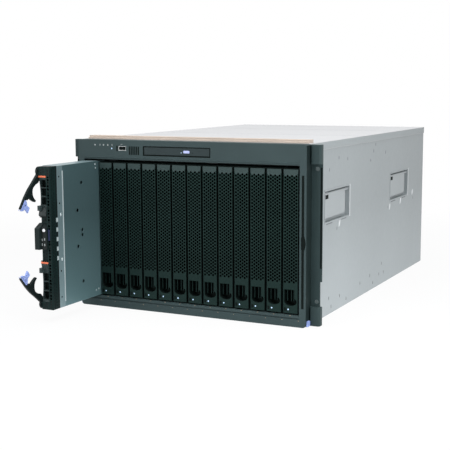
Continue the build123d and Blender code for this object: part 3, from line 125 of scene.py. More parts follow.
# Fillers' front above this height gets painted light from above
PAINTED_TOP_LIGHT_LOW = 253.0
GRIP_LOW = 35.6
GRIP_HIGH = 63.0
GRIP_LEFT = -11.0
GRIP_RIGHT = 7.4
GRIP_BULGE = 11.4
GRIP_BOWL = 7.0
GRIP_DEPTH = 15.0
GRIP_STEPS = 14
GRIP_SHADE = 6.0
GRIP_SHADE_PAST = 1.0
GRIP_RIBS = (-7.6, -0.2, 4.2)
RIB_HALF = 0.7
RIB_SUNK = 5.5
LIGHT_PLACE = (-3.8, 29.4)
LIGHT_RADIUS = 1.25
LIGHT_PROUD = 0.25
# Dark plate beside each filler light: painted shade of a notch
LIGHT_NOTCH = (-11.6, -8.0, 26.6, 32.2)
NOTCH_PROUD = 0.1

# Blade front
GRILLE_PITCH = 5.2
GRILLE_STEP = 5.2
GRILLE_HOLE = 2.1
GRILLE_SKIN = 0.35
GRILLE_RIM = 0.2
GRILLE_SETBACK = 5.0
GRILLE_MARGIN = 2.0
TAB_LENGTH = 5.5
TAB_PLACES = (109.0, 125.5, 142.0, 158.5, 175.0)
TAB_HALF = 3.2
TAB_GAP = 0.7
PANEL_PROUD = 3.0
PLATE_LEFT = -198.5
PLATE_HIGH = 165.0
PLATE_RIGHT_RIM = 0.3
PLATE_LOW_RIM = 0.5
PLATE_PROUD = 0.12
PANEL_MARKS = ((-197.0, 140.5), (-197.0, 132.5), (-192.2, 141.5), (-192.2, 132.0))
PANEL_MARK_HALF = 1.0
PANEL_MARK_HEIGHT = 4.0
PANEL_MARK_PROUD = 0.3
BUTTON_ROOM = 3.1
# Holes in the blade's strip, drawn as dark discs: painted shade
STRIP_HOLES = ((-147.0, 40.0), (-147.0, 85.5), (-147.0, 202.5), (-147.0, 248.0))
STRIP_HOLE_RADIUS = 1.6
STRIP_HOLE_SUNK = 0.5
STRIP_HOLE_PROUD = 0.05
STRIP_BUMPS = ((-144.0, 183.0), (-143.5, 105.5))
STRIP_BUMP_RADII = (0.8, 2.0, 3.0)
COVER_RIVETS = ((-37.0, 261.0), (-36.0, 254.5), (-42.0, 32.5), (-33.0, 33.5))
COVER_RIVET_RADII = (0.6, 1.2, 1.6)

# Levers: height of the pivot, turn in degrees from closed to open, and which way the lever points
LEVER_PIVOTS = {"upper_lever": (258.0, -42.0, -1), "lower_lever": (30.0, 47.0, 1)}
LEVER_PIVOT_Y = -168.0
LEVER_TIP = ((2.2, 62.0), (0.4, 82.0), (-0.9, 82.0), (-0.9, 60.5))
TIP_PROUD = 0.2
TIP_GAP = 0.02

# Blade label, the fold along its side, and its drives
LABEL = (-186.6, -183.2, 141.0, 160.0)
LABEL_PROUD = 0.6
FOLD_WIDTH = 2.6
FOLD_PROUD = 0.35
FOLD_END = 9.0
FOLD_EDGE = 0.12
WINDOW_SIDE = 2.0
WINDOW_DEPTH = 9.0
# Dark plates near the window floors: painted shade
WINDOW_FLOOR_HIGH = 0.3
WINDOW_FLOOR_LOW = 0.05
WINDOWS = {"upper_drive": (200.6, 244.6), "lower_drive": (38.0, 85.4)}
WINDOW_COUNT = 3
WINDOW_BAR = 2.4
FOOT_PROFILE = ((1.5, 196.0), (-0.5, 196.0), (-3.5, 184.4), (-2.5, 182.4), (1.0, 182.4))
FOOT_SIDE = 0.2
FOOT_EDGE = 0.3

# Media panel: places across and up on the bezel's face
ROUND_MARKS = (-186.0, -168.0, -159.0)
ROUND_MARK_HEIGHT = 295.4
ROUND_MARK_RADIUS = 1.5
BAR_MARKS = (-175.5, -150.0)
BAR_MARK_HALF = 0.6
BAR_MARK_ENDS = (293.8, 297.0)
PORT_MARK = (-132.0, -128.0, 296.8, 297.5)
PANEL_LIGHT = (-150.7, 289.4)
PANEL_LIGHT_RADIUS = 1.3
PORT_SHADE = (-140.9, -138.4, 285.4, 294.4)
PORT_WALL = 1.1
PORT_TONGUE = 2.6
PORT_DEPTHS = (0.6, 2.0)
# Vent slots drawn as dark plates: painted shade
VENT_X = -104.5
VENT_COUNT = 6
VENT_PITCH = 3.7
VENT_HALF = 1.3
VENT_HEIGHTS = (279.0, 294.0)
VENT_PROUD = 0.05
VENT_SUNK = 1.0
# Painted shade round the disc tray, wider on the left and below where the recess walls are in shade: left,
# right, under, over
DRIVE_SHADE_BORDER = (2.8, 1.4, 2.4, 1.4)
DRIVE_GAP = 0.3
SHADE_BORDER_SUNK = 1.5
DRIVE_LAMP = (-9.4, 285.2)
DRIVE_LAMP_RADIUS = 0.8
DRIVE_PINHOLE = (12.6, 285.3)
PINHOLE_RADIUS = 0.7
PINHOLE_PROUD = 0.1

# Bezel and ears
BEAD = 1.2
GAP_PROUD = 0.08
# Painted shade in the bezel's side grooves, bulging at a finger pull
GROOVE_HALF = 2.2
GROOVE_SUNK = 1.9
GROOVE_ENDS = (32.0, 254.0)
PULL_HEIGHT = 142.0
PULL_HALF = 13.0
PULL_OUT = 3.0
PULL_STEPS = 12
GROOVE_X = 216.5
EAR_STRIP = (238.0, 241.1, 98.0, 266.0)
EAR_STRIP_DEPTHS = (-3.3, -2.9)
# Painted shade on the bezel's side faces: margin, rear end and half thickness
FLANK_EDGE = 2.0
FLANK_REAR = -3.5
FLANK_HALF = 0.1

# Spots on the ledge: across from the middle of a bay, up, and inwards from the bezel's face
LEDGE_SPOTS = (((-1.6, 0.4), (18.3, 19.3), (0.5, 1.7)), ((14.0, 15.6), (10.6, 11.4), (-0.15, 0.2)))

# Blowers: inner and outer radii of the rings on each grille
GRILLE_RINGS = ((55.4, 60.5), (35.0, 40.6), (4.0, 23.6))
RING_COUNT = 64
RING_PROUD = 0.7
RING_EDGE = 0.2

# Lid
SEAMS = (262.0, 480.0)
SEAM_HALF = 0.7
SEAM_END = 1.0
SEAM_PROUD = 0.12
LIP_EDGE = 0.8
LIP_HALF = 0.1

# Chassis sides: places along the depth and up, on the outer face of the sheet
RIM = 2.4
RIM_PROUD = 0.5
# Painted highlight along the rear edge of each handle window: width, gap and height
SIDE_RIM = 4.0
SIDE_RIM_GAP = 0.3
SIDE_RIM_PROUD = 0.6
HANDLE_WINDOW = (-62.0, 62.0, 165.0, 219.0)
# Dark plate over each handle's slot: painted shade
HANDLE_SLOT = (-57.0, -42.0, 205.0, 212.0)
SLOT_SUNK = 0.2
SLOT_PROUD = 0.1
# Dark bars under each handle window's rim: painted shade
SIDE_SHADE_BARS = ((-55.0, -25.0), (21.0, 47.0))
SIDE_BAR_DROP = (2.0, 0.2)
SIDE_BAR_PROUD = 0.15
# Pressings drawn in the bright finish: painted glints
BUMPS = {"front": ((11.0, 156.0),), "rear": ((11.0, 156.0), (-65.0, 152.0), (100.0, 166.0))}
BUMP_RADII = (1.2, 2.6, 7.0)
BUMP_TILT = math.radians(-25)
DIMPLES = (
    (84, 255), (131, 273), (177, 268), (309, 256), (327, 273), (339, 285), (403, 266),
    (86, 29), (98, 12), (141, 23), (177, 11), (255, 25), (314, 30), (333, 12), (372, 23),
    (388, 42), (402, 22), (124, 148), (426, 153), (608, 153),
)
DIMPLE_RADIUS = 1.3
DIMPLE_FLATS = 10
DIMPLE_STRETCH = 2.6
DIMPLE_PROUD = 0.12


def low(node):
    """Lowest corner of a node, in millimetres."""
    return [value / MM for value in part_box(node)[0]]


def high(node):
    """Highest corner of a node, in millimetres."""
    return [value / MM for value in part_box(node)[1]]


def middle_of(node, axis):
    """Middle of a node along an axis, in millimetres."""
    return (low(node)[axis] + high(node)[axis]) / 2


# Materials

def nodes_of(material):
    """Node tree, shader and object coordinates of a new material."""
    material.use_nodes = True
    tree = material.node_tree
    shader = tree.nodes["Principled BSDF"]
    coordinates = tree.nodes.new("ShaderNodeTexCoord")
    return tree, shader, coordinates.outputs["Object"]


def noise(tree, vector, scale, detail=3.0):
    """Noise texture node in the given coordinates."""
    node = tree.nodes.new("ShaderNodeTexNoise")
    node.inputs["Scale"].default_value = scale
    node.inputs["Detail"].default_value = detail
    tree.links.new(vector, node.inputs["Vector"])
    return node


def ramp(tree, value, start, end, low_at=NOISE_LOW, high_at=NOISE_HIGH):
    """Blend between two colours driven by a value."""
    node = tree.nodes.new("ShaderNodeValToRGB")
    node.color_ramp.elements[0].position = low_at
    node.color_ramp.elements[1].position = high_at
    node.color_ramp.elements[0].color = (*start, 1.0)
    node.color_ramp.elements[1].color = (*end, 1.0)
    tree.links.new(value, node.inputs["Fac"])
    return node


def spread(tree, value, start, end):
    """Map a noise value to a range, such as a roughness."""
    node = tree.nodes.new("ShaderNodeMapRange")
    node.inputs["From Min"].default_value = NOISE_LOW
    node.inputs["From Max"].default_value = NOISE_HIGH
    node.inputs["To Min"].default_value = start
    node.inputs["To Max"].default_value = end
    tree.links.new(value, node.inputs["Value"])
    return node


def surface(name, color, rough, metallic=0.0, patch=14.0, vary=0.12, grain=900.0, bump=0.06,
            stretch=(1, 1, 1), shine=0.5, painted_low_light=0.0):
    """Moulded or sheet surface: patchy tone with painted floor light that brightens it towards the floor
    (painted shade that darkens it there for a negative amount), uneven gloss, a fine grain.
    """
    material = bpy.data.materials.new(name)
    tree, shader, place = nodes_of(material)
    mapping = tree.nodes.new("ShaderNodeMapping")
    mapping.inputs["Scale"].default_value = stretch
    tree.links.new(place, mapping.inputs["Vector"])
    patches = noise(tree, mapping.outputs["Vector"], patch)
    darker = [channel * (1 - vary) for channel in color]
    lighter = [min(1.0, channel * (1 + vary)) for channel in color]
    tone = ramp(tree, patches.outputs["Fac"], darker, lighter)
    heights = tree.nodes.new("ShaderNodeSeparateXYZ")
    tree.links.new(place, heights.inputs["Vector"])
    # Painted floor light: colour scaled up near the floor, or down for a negative amount
    low_light_gain = tree.nodes.new("ShaderNodeMapRange")
    low_light_gain.inputs["From Min"].default_value = PAINTED_LOW_LIGHT_FROM
    low_light_gain.inputs["From Max"].default_value = PAINTED_LOW_LIGHT_TO
    low_light_gain.inputs["To Min"].default_value = 1.0 + painted_low_light
    low_light_gain.inputs["To Max"].default_value = 1.0
    tree.links.new(heights.outputs["Z"], low_light_gain.inputs["Value"])
    shade = tree.nodes.new("ShaderNodeVectorMath")
    shade.operation = "SCALE"
    tree.links.new(tone.outputs["Color"], shade.inputs[0])
    tree.links.new(low_light_gain.outputs["Result"], shade.inputs["Scale"])
    tree.links.new(shade.outputs["Vector"], shader.inputs["Base Color"])
    grains = noise(tree, mapping.outputs["Vector"], grain, GRAIN_DETAIL)
    dullest = min(1.0, rough * (1 + GLOSS_VARY))
    gloss = spread(tree, grains.outputs["Fac"], rough * (1 - GLOSS_VARY), dullest)
    tree.links.new(gloss.outputs["Result"], shader.inputs["Roughness"])
    relief = tree.nodes.new("ShaderNodeBump")
    relief.inputs["Strength"].default_value = bump
    relief.inputs["Distance"].default_value = GRAIN_DEPTH
    tree.links.new(grains.outputs["Fac"], relief.inputs["Height"])
    tree.links.new(relief.outputs["Normal"], shader.inputs["Normal"])
    shader.inputs["Metallic"].default_value = metallic
    shader.inputs["Specular IOR Level"].default_value = shine
    return material


def glowing(name, color, glow, strength):
    """Small lit surface with a slightly uneven lens."""
    material = surface(name, color, rough=0.35, vary=0.08, patch=300.0)
    shader = material.node_tree.nodes["Principled BSDF"]
    shader.inputs["Emission Color"].default_value = (*glow, 1.0)
    shader.inputs["Emission Strength"].default_value = strength
    return material


MATERIALS = {
    # Side sheets: painted floor light brightens their lower part
    "chassis_steel": surface("galvanised_sheet", (0.295, 0.325, 0.335), 0.42, 0.2, patch=5.0, vary=0.035,
                             grain=500.0, bump=0.02, stretch=(1, 1, 0.25), painted_low_light=0.42),
    "lid_paint": surface("lid_sheet", (0.45, 0.455, 0.465), 0.45, 0.25, patch=6.0, vary=0.025, bump=0.03),
    "bezel_plastic": surface("bezel_plastic", (0.038, 0.059, 0.061), 0.45, vary=0.08, bump=0.05, shine=0.12),
    # Fillers: painted shade darkens their lower part, so their tops look lit from above
    "filler_plastic": surface("filler_plastic", (0.0115, 0.0262, 0.0236), 0.45, vary=0.1, bump=0.05,
                              shine=0.06, painted_low_light=-0.1),
    "ear_paint": surface("ear_paint", (0.028, 0.046, 0.047), 0.48, vary=0.08, bump=0.05, shine=0.12),
    "seal_foam": surface("seal_foam", (0.50, 0.425, 0.365), 0.85, vary=0.06, grain=1400.0, bump=0.25,
                         shine=0.2),
    "blue_touch": surface("blue_touch", (0.26, 0.34, 0.66), 0.45, vary=0.06, shine=0.3),
    "orange_touch": surface("orange_touch", (0.70, 0.16, 0.07), 0.45, vary=0.06, shine=0.3),
    "board": surface("printed_board", (0.02, 0.09, 0.05), 0.4, vary=0.25, patch=120.0),
    "module_steel": surface("module_sheet", (0.52, 0.53, 0.55), 0.36, 0.8, patch=6.0, vary=0.05, grain=700.0,
                            bump=0.03, stretch=(1, 1, 0.1)),
    "port_metal": surface("port_sheet", (0.50, 0.52, 0.52), 0.4, 0.4, vary=0.06),
    "disk_metal": surface("drive_sheet", (0.55, 0.56, 0.58), 0.35, 0.9, vary=0.05, stretch=(1, 0.1, 1)),
    "black_plastic": surface("black_plastic", (0.006, 0.011, 0.011), 0.45, vary=0.12, bump=0.06, shine=0.12),
    # Blade cover: painted floor reflection doubles its tone at the bottom
    "blade_steel": surface("blade_sheet", (0.072, 0.126, 0.135), 0.4, 0.4, patch=5.0, vary=0.05, grain=600.0,
                           bump=0.02, stretch=(1, 1, 0.2), painted_low_light=1.0),
    "sink_aluminium": surface("sink_aluminium", (0.62, 0.63, 0.65), 0.4, 0.9, vary=0.05, stretch=(1, 0.1, 1)),
    "connector_plastic": surface("connector_plastic", (0.03, 0.03, 0.03), 0.5, vary=0.1),
    "pin_steel": surface("pin_steel", (0.5, 0.5, 0.5), 0.3, 0.9, vary=0.05),
    "white_button": surface("white_button", (0.82, 0.83, 0.85), 0.3, vary=0.03),
    "wheel_plastic": surface("wheel_plastic", (0.02, 0.02, 0.022), 0.45, vary=0.1),
    "handle_steel": surface("handle_sheet", (0.335, 0.365, 0.375), 0.42, 0.2, patch=8.0, vary=0.04,
                            stretch=(1, 1, 0.3)),
}
STATUS_LIGHT = glowing("status_light", (0.40, 0.55, 0.72), (0.50, 0.72, 1.0), 0.3)
DRIVE_LIGHT = glowing("drive_light", (0.40, 0.45, 0.74), (0.50, 0.58, 1.0), 0.08)
PRINT_GREY = surface("print_grey", (0.29, 0.32, 0.32), 0.6, vary=0.08, patch=400.0)
# Black for painted shade in gaps, holes, slots, grooves and recesses, and for the black edges of the ears
SHADE_AND_EDGE_BLACK = surface("shade_and_edge_black", (0.0016, 0.0046, 0.0041), 0.7, vary=0.2, shine=0.1)
# Lighter plastic on the fillers' top band: painted light from above
FILLER_PAINTED_TOP_LIGHT = surface("filler_painted_top_light", (0.034, 0.054, 0.053), 0.4, vary=0.08, bump=0.04, shine=0.1)
GRILLE_PLASTIC = surface("grille_plastic", (0.007, 0.019, 0.018), 0.45, vary=0.1, shine=0.1)
CARRIER_PLASTIC = surface("carrier_plastic", (0.034, 0.050, 0.050), 0.45, vary=0.1, shine=0.15)
DRIVE_FACE = surface("drive_face", (0.024, 0.036, 0.038), 0.4, vary=0.1, shine=0.12)
# Blade tray: painted floor light brightens its lower part
STRIP_STEEL = surface("strip_sheet", (0.165, 0.235, 0.25), 0.4, 0.35, patch=5.0, vary=0.05, grain=600.0,
                      bump=0.02, painted_low_light=0.45)
FOLD_STEEL = surface("fold_sheet", (0.56, 0.64, 0.65), 0.35, 0.35, patch=8.0, vary=0.05)
FOOT_STEEL = surface("foot_sheet", (0.024, 0.031, 0.031), 0.4, 0.1, vary=0.06, shine=0.2)
NAVY_LABEL = surface("navy_label", (0.012, 0.018, 0.06), 0.5, vary=0.1, shine=0.2)
# Bright sheet for the window edges and pressings: painted highlight
PAINTED_HIGHLIGHT_STEEL = surface("painted_highlight_sheet", (0.62, 0.64, 0.65), 0.4, 0.3, patch=8.0, vary=0.04)
PANEL_PLASTIC = surface("panel_plastic", (0.011, 0.019, 0.019), 0.5, vary=0.1, shine=0.12)
# Dark paint for the media tray and the panel plate, and painted shade on the upper bay guide
DARK_PAINT_AND_GAP_SHADE = surface("dark_paint_and_gap_shade", (0.010, 0.014, 0.014), 0.6, vary=0.1, shine=0.2)
LEDGE_SPOT = surface("ledge_spot", (0.30, 0.22, 0.15), 0.6, vary=0.1)
# Dark sheet for painted shade under the window rims, and for the dimples
SIDE_SHADE_AND_SPOT = surface("side_shade_and_spots", (0.16, 0.17, 0.18), 0.6, 0.2, vary=0.1)
LID_SEAM = surface("lid_seam", (0.40, 0.40, 0.42), 0.6, 0.2, vary=0.05)


# Meshes

def finish_mesh(name, bm, material, bevel=0.0):
    """Turn a mesh drawn in millimetres into an object with its material."""
    bmesh.ops.recalc_face_normals(bm, faces=bm.faces)
    bmesh.ops.scale(bm, vec=(MM, MM, MM), verts=bm.verts)
    mesh = bpy.data.meshes.new(name)
    bm.to_mesh(mesh)
    bm.free()
    mesh.materials.append(material)
    piece = bpy.data.objects.new(name, mesh)
    bpy.context.collection.objects.link(piece)
    if bevel:
        soften(piece, bevel)
    return piece


def soften(piece, width):
    """Round the sharp edges of a piece."""
    bevel = piece.modifiers.new("edges", "BEVEL")
    bevel.width = width * MM
    bevel.segments = BEVEL_SEGMENTS
    bevel.limit_method = "ANGLE"
    bevel.angle_limit = BEVEL_ANGLE
    bevel.use_clamp_overlap = True
    bevel.harden_normals = True


def join_piece(piece, body, slot, *replaced):
    """Fasten a piece to a body and hide the nodes that it stands for; the finish slot is not used."""
    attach(piece, body)
    if replaced:
        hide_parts(*replaced)
    return piece


def loop_vertices(bm, points, depth, axis="y"):
    """Ring of vertices at a depth along Y from points in X and Z, or along X from points in Y and Z."""
    if axis == "y":
        return [bm.verts.new((a, depth, b)) for a, b in points]
    return [bm.verts.new((depth, a, b)) for a, b in points]


def wall(bm, ring_a, ring_b):
    """Quads between two rings of the same count."""
    for i in range(len(ring_a)):
        bm.faces.new((ring_a[i - 1], ring_a[i], ring_b[i], ring_b[i - 1]))


def prism(bm, points, start, end, axis="y"):
    """Closed prism of an outline between two depths."""
    front = loop_vertices(bm, points, start, axis)
    back = loop_vertices(bm, points, end, axis)
    bm.faces.new(front)
    bm.faces.new(back)
    wall(bm, front, back)


def pierced_face(bm, outline, hole, shown, sunk, axis="y"):
    """Four-cornered face with a hole whose walls reach a depth. Returns the outer ring.

    The face is two polygons, which meet where the first and third corners are nearest to the hole.
    """
    ring = loop_vertices(bm, outline, shown, axis)
    mouth = loop_vertices(bm, hole, shown, axis)
    wall(bm, mouth, loop_vertices(bm, hole, sunk, axis))
    count = len(hole)
    start, end = (min(range(count), key=lambda i: math.dist(hole[i], outline[corner])) for corner in (0, 2))
    there = [mouth[(start + i) % count] for i in range((end - start) % count + 1)]
    back = [mouth[(end + i) % count] for i in range((start - end) % count + 1)]
    bm.faces.new(ring[:3] + there[::-1])
    bm.faces.new(ring[2:] + ring[:1] + back[::-1])
    return ring


def pierced_skin(bm, outline, hole, shown, base, axis="y"):
    """Thin skin on a face, with a hole down to that face."""
    ring = pierced_face(bm, outline, hole, shown, base, axis)
    wall(bm, ring, loop_vertices(bm, outline, base, axis))


def perforated_face(bm, field, half, step, pitch, shown, sunk, axis="y"):
    """Rectangle with as many six-sided holes as fit, and the walls of the holes. Returns the outer ring.

    Neighbouring columns are set off by half a pitch. Every hole has a six-sided cell of the sheet, whose
    corners are known by the gap between columns that they lie in, the first or second line there, and the
    height in half pitches.
    """
    a0, a1, b0, b1 = field
    reach = (step ** 2 + (pitch / 2) ** 2) / (2 * step)
    columns = math.floor((a1 - a0 - 2 * reach) / step) + 1
    rows = math.floor((b1 - b0 - 1.5 * pitch) / pitch) + 1
    first_a = (a0 + a1 - (columns - 1) * step) / 2
    first_b = (b0 + b1 - (rows - 0.5) * pitch) / 2
    past_column = (step - reach, reach)
    corners = {}

    def corner(gap, line, height):
        key = (gap, line, height)
        if key not in corners:
            place = (first_a + (gap - 1) * step + past_column[line], first_b + height * pitch / 2)
            corners[key] = loop_vertices(bm, [place], shown, axis)[0]
        return corners[key]

    def edge_of_rows(row, side):
        """Corners along the lower or upper edge of a row, from left to right."""
        heights = [2 * row + column % 2 + side for column in range(columns)]
        return [corner(column + end, 1 - end, heights[column]) for column in range(columns) for end in (0, 1)]

    def edge_of_column(column, gap, line):
        """Corners along the outer edge of a column, from its foot to its top."""
        foot = column % 2 - 1
        return [corner(gap, line if (height - foot) % 2 else 1 - line, height)
                for height in range(foot, foot + 2 * rows + 1)]

    for column in range(columns):
        for row in range(rows):
            level = 2 * row + column % 2
            after = column + 1
            cell = [corner(after, 1, level), corner(after, 0, level + 1), corner(column, 1, level + 1),
                    corner(column, 0, level), corner(column, 1, level - 1), corner(after, 0, level - 1)]
            hole = hexagon(first_a + column * step, first_b + level * pitch / 2, half)
            mouth = loop_vertices(bm, hole, shown, axis)
            wall(bm, cell, mouth)
            wall(bm, mouth, loop_vertices(bm, hole, sunk, axis))
    ring = loop_vertices(bm, rectangle(*field), shown, axis)
    bm.faces.new(ring[:2] + edge_of_rows(0, -1)[::-1])
    bm.faces.new(ring[2:] + edge_of_rows(rows - 1, 1))
    bm.faces.new([ring[1], ring[2]] + edge_of_column(columns - 1, columns, 1)[::-1])
    bm.faces.new([ring[3], ring[0]] + edge_of_column(0, 0, 0))
    return ring


def hexagon(x, z, half):
    """Six-sided hole with its flats above and below."""
    return disc(x, z, half * 2 / math.sqrt(3), 6)


def rectangle(x0, x1, z0, z1):
    """Corners of a rectangle in X and Z."""
    return [(x0, z0), (x1, z0), (x1, z1), (x0, z1)]


def disc(x, z, radius, count=20, stretch=1.0):
    """Points of a circle, or of an ellipse, in X and Z."""
    angles = [2 * math.pi * i / count for i in range(count)]
    return [(x + radius * math.cos(a), z + radius * stretch * math.sin(a)) for a in angles]


def bump(bm, place, radii, tilt):
    """Rounded pressing in an upright sheet, tilted about the sheet's normal."""
    turn = Matrix.Rotation(tilt, 4, "X")
    matrix = Matrix.Translation(place) @ turn @ Matrix.Diagonal((*radii, 1.0))
    bmesh.ops.create_uvsphere(bm, u_segments=16, v_segments=10, radius=1.0, matrix=matrix)


# Bay fillers with their true perforation

def grip_points():
    """Outline of the grip: a straight throat that widens into a bowl below."""
    bowl_z = GRIP_LOW + GRIP_BOWL
    middle = (GRIP_LEFT + GRIP_BULGE) / 2
    half = (GRIP_BULGE - GRIP_LEFT) / 2
    throat = [(GRIP_RIGHT, GRIP_HIGH), (GRIP_LEFT, GRIP_HIGH), (GRIP_LEFT, bowl_z)]
    shoulder = math.acos((GRIP_RIGHT - middle) / half)
    for step in range(1, GRIP_STEPS + 1):
        angle = math.pi + step * (math.pi + shoulder) / GRIP_STEPS
        throat.append((middle + half * math.cos(angle), bowl_z + GRIP_BOWL * math.sin(angle)))
    return throat


def upright_points(x0, x1, levels):
    """Rectangle with further points on its upright edges, at the given heights."""
    return [(x0, levels[0])] + [(x1, z) for z in levels] + [(x0, z) for z in levels[:0:-1]]


def filler_mesh():
    """One filler as a mesh about the middle of its bay."""
    bottom, top = low("bay_filler_02")[2], high("bay_filler_02")[2]
    front, rear = low("bay_filler_02")[1], high("bay_filler_02")[1]
    half = FILLER_WIDTH / 2
    edge = FILLER_EDGE
    bm = bmesh.new()
    levels = (bottom + edge, FIELD_LOW, FIELD_HIGH, top - edge)
    left, right = edge - half, half - edge
    plate = rectangle(left, right, levels[0], levels[1])
    pierced_face(bm, plate, grip_points(), front, front + GRIP_DEPTH)
    perforated_face(bm, (left, right, FIELD_LOW, FIELD_HIGH), HOLE_HALF, HOLE_COLUMN_PITCH, HOLE_PITCH, front,
                    front + FILLER_SKIN)
    bm.faces.new(loop_vertices(bm, rectangle(left, right, levels[2], levels[3]), front))
    bm.faces.new(loop_vertices(bm, grip_points(), front + GRIP_DEPTH))
    outer_levels = (bottom, FIELD_LOW, FIELD_HIGH, top)
    rings = [loop_vertices(bm, upright_points(*sides, heights), depth) for sides, heights, depth in (
        ((left, right), levels, front), ((left, right), levels, front + FILLER_GAP_DEPTH),
        ((-half, half), outer_levels, front + FILLER_GAP_DEPTH), ((-half, half), outer_levels, rear))]
    for inner, outer in zip(rings, rings[1:]):
        wall(bm, inner, outer)
    bmesh.ops.remove_doubles(bm, verts=bm.verts, dist=MERGE_REACH)
    for rib_x in GRIP_RIBS:
        rib = rectangle(rib_x - RIB_HALF, rib_x + RIB_HALF, GRIP_LOW + GRIP_BOWL, GRIP_HIGH)
        prism(bm, rib, front + RIB_SUNK, front + GRIP_DEPTH)
    pattern = finish_mesh("filler", bm, MATERIALS["filler_plastic"])
    pattern.data.materials.append(SHADE_AND_EDGE_BLACK)
    pattern.data.materials.append(FILLER_PAINTED_TOP_LIGHT)
    # Painted shade: faces sunk up to the gap depth behind the front (gaps between fillers, hole walls, the
    # grip's mouth) and the grip's deep faces get the shade black
    for polygon in pattern.data.polygons:
        _, y, z = polygon.center / MM
        in_bowl = front + GRIP_SHADE < y < front + GRIP_DEPTH + GRIP_SHADE_PAST
        in_grip_shade = in_bowl and GRIP_LOW < z < GRIP_HIGH
        in_gap_shade = front + MERGE_REACH < y < front + FILLER_GAP_DEPTH + MERGE_REACH
        if in_grip_shade or in_gap_shade:
            polygon.material_index = 1
        # Front faces of the top band: painted light from above
        elif y < front + MERGE_REACH and z > PAINTED_TOP_LIGHT_LOW:
            polygon.material_index = 2
    return pattern


def make_fillers():
    """A perforated filler and its status light in every closed bay."""
    pattern = filler_mesh()
    light = bmesh.new()
    front = low("bay_filler_02")[1]
    lens = disc(*LIGHT_PLACE, LIGHT_RADIUS, SMALL_FLATS)
    prism(light, lens, front - LIGHT_PROUD, front + PRINT_SUNK)
    light_pattern = finish_mesh("filler_light", light, STATUS_LIGHT)
    # Dark plate beside the light: painted shade of the notch
    notch = bmesh.new()
    prism(notch, rectangle(*LIGHT_NOTCH), front - NOTCH_PROUD, front + PRINT_SUNK)
    notch_pattern = finish_mesh("filler_notch", notch, SHADE_AND_EDGE_BLACK)
    patterns = {"perforated_filler_": pattern, "filler_light_": light_pattern, "filler_notch_": notch_pattern}
    for bay in FILLED_BAYS:
        node = "bay_filler_%02d" % bay
        shift = middle_of(node, 0) * MM
        for stem, source in patterns.items():
            piece = bpy.data.objects.new(stem + "%02d" % bay, source.data)
            bpy.context.collection.objects.link(piece)
            piece.location.x = shift
            replaced = (node,) if source is pattern else ()
            join_piece(piece, node, "filler_plastic", *replaced)
    for source in patterns.values():
        bpy.data.objects.remove(source)


# Media panel

def make_media_panel():
    """Status lights and generic marks on the bezel, and painted shade in its port, its vent slots, its
    drive's pinhole and around its drive.
    """
    front = low("front_bezel")[1] + BEAD
    proud, sunk = front - PRINT_PROUD, front + PRINT_SUNK
    marks = bmesh.new()
    for x in ROUND_MARKS:
        prism(marks, disc(x, ROUND_MARK_HEIGHT, ROUND_MARK_RADIUS, SMALL_FLATS), proud, sunk)
    for x in BAR_MARKS:
        prism(marks, rectangle(x - BAR_MARK_HALF, x + BAR_MARK_HALF, *BAR_MARK_ENDS), proud, sunk)
    prism(marks, rectangle(*PORT_MARK), proud, sunk)
    join_piece(finish_mesh("status_marks", marks, PRINT_GREY), "chassis", "white_button")
    lights = bmesh.new()
    prism(lights, disc(*PANEL_LIGHT, PANEL_LIGHT_RADIUS, SMALL_FLATS), proud, sunk)
    join_piece(finish_mesh("status_lights", lights, STATUS_LIGHT), "chassis", "white_button")
    gaps = bmesh.new()
    prism(gaps, rectangle(*PORT_SHADE), proud, sunk)
    # Painted shade inside the port's mouth
    port_low, port_high = low("usb_port"), high("usb_port")
    port = rectangle(port_low[0] + PORT_WALL, port_high[0] - PORT_WALL, port_low[2] + PORT_TONGUE,
                     port_high[2] - PORT_WALL)
    prism(gaps, port, *(port_low[1] + depth for depth in PORT_DEPTHS))
    # Dark plates on the vent slots: painted shade in the slots
    for index in range(VENT_COUNT):
        x = VENT_X + (index - (VENT_COUNT - 1) / 2) * VENT_PITCH
        vent = rectangle(x - VENT_HALF, x + VENT_HALF, *VENT_HEIGHTS)
        prism(gaps, vent, front - VENT_PROUD, front + VENT_SUNK)
    join_piece(finish_mesh("port_and_vent_shade", gaps, SHADE_AND_EDGE_BLACK), "chassis", "black_plastic")
    # Painted shade round the disc tray's recess
    tray_low, tray_high = low("disc_tray"), high("disc_tray")
    left, right, under, over = DRIVE_SHADE_BORDER
    shade_border = rectangle(tray_low[0] - left, tray_high[0] + right, tray_low[2] - under, tray_high[2] + over)
    mouth = rectangle(tray_low[0] - DRIVE_GAP, tray_high[0] + DRIVE_GAP, tray_low[2] - DRIVE_GAP,
                      tray_high[2] + DRIVE_GAP)
    ring = bmesh.new()
    pierced_skin(ring, shade_border, mouth, front - GAP_PROUD, front + SHADE_BORDER_SUNK)
    join_piece(finish_mesh("drive_border_shade", ring, SHADE_AND_EDGE_BLACK), "chassis", "black_plastic")
    drive = tray_low[1]
    lamp = bmesh.new()
    lens = disc(*DRIVE_LAMP, DRIVE_LAMP_RADIUS, SMALL_FLATS)
    prism(lamp, lens, drive - PRINT_PROUD, drive + PRINT_SUNK)
    join_piece(finish_mesh("drive_lamp", lamp, STATUS_LIGHT), "disc_tray", "black_plastic")
    # Dark disc: painted shade in the pinhole
    pinhole = bmesh.new()
    hole = disc(*DRIVE_PINHOLE, PINHOLE_RADIUS, SMALL_FLATS)
    prism(pinhole, hole, drive - PINHOLE_PROUD, drive + PRINT_SUNK)
    join_piece(finish_mesh("drive_pinhole", pinhole, SHADE_AND_EDGE_BLACK), "disc_tray", "black_plastic")


# Bezel and ears

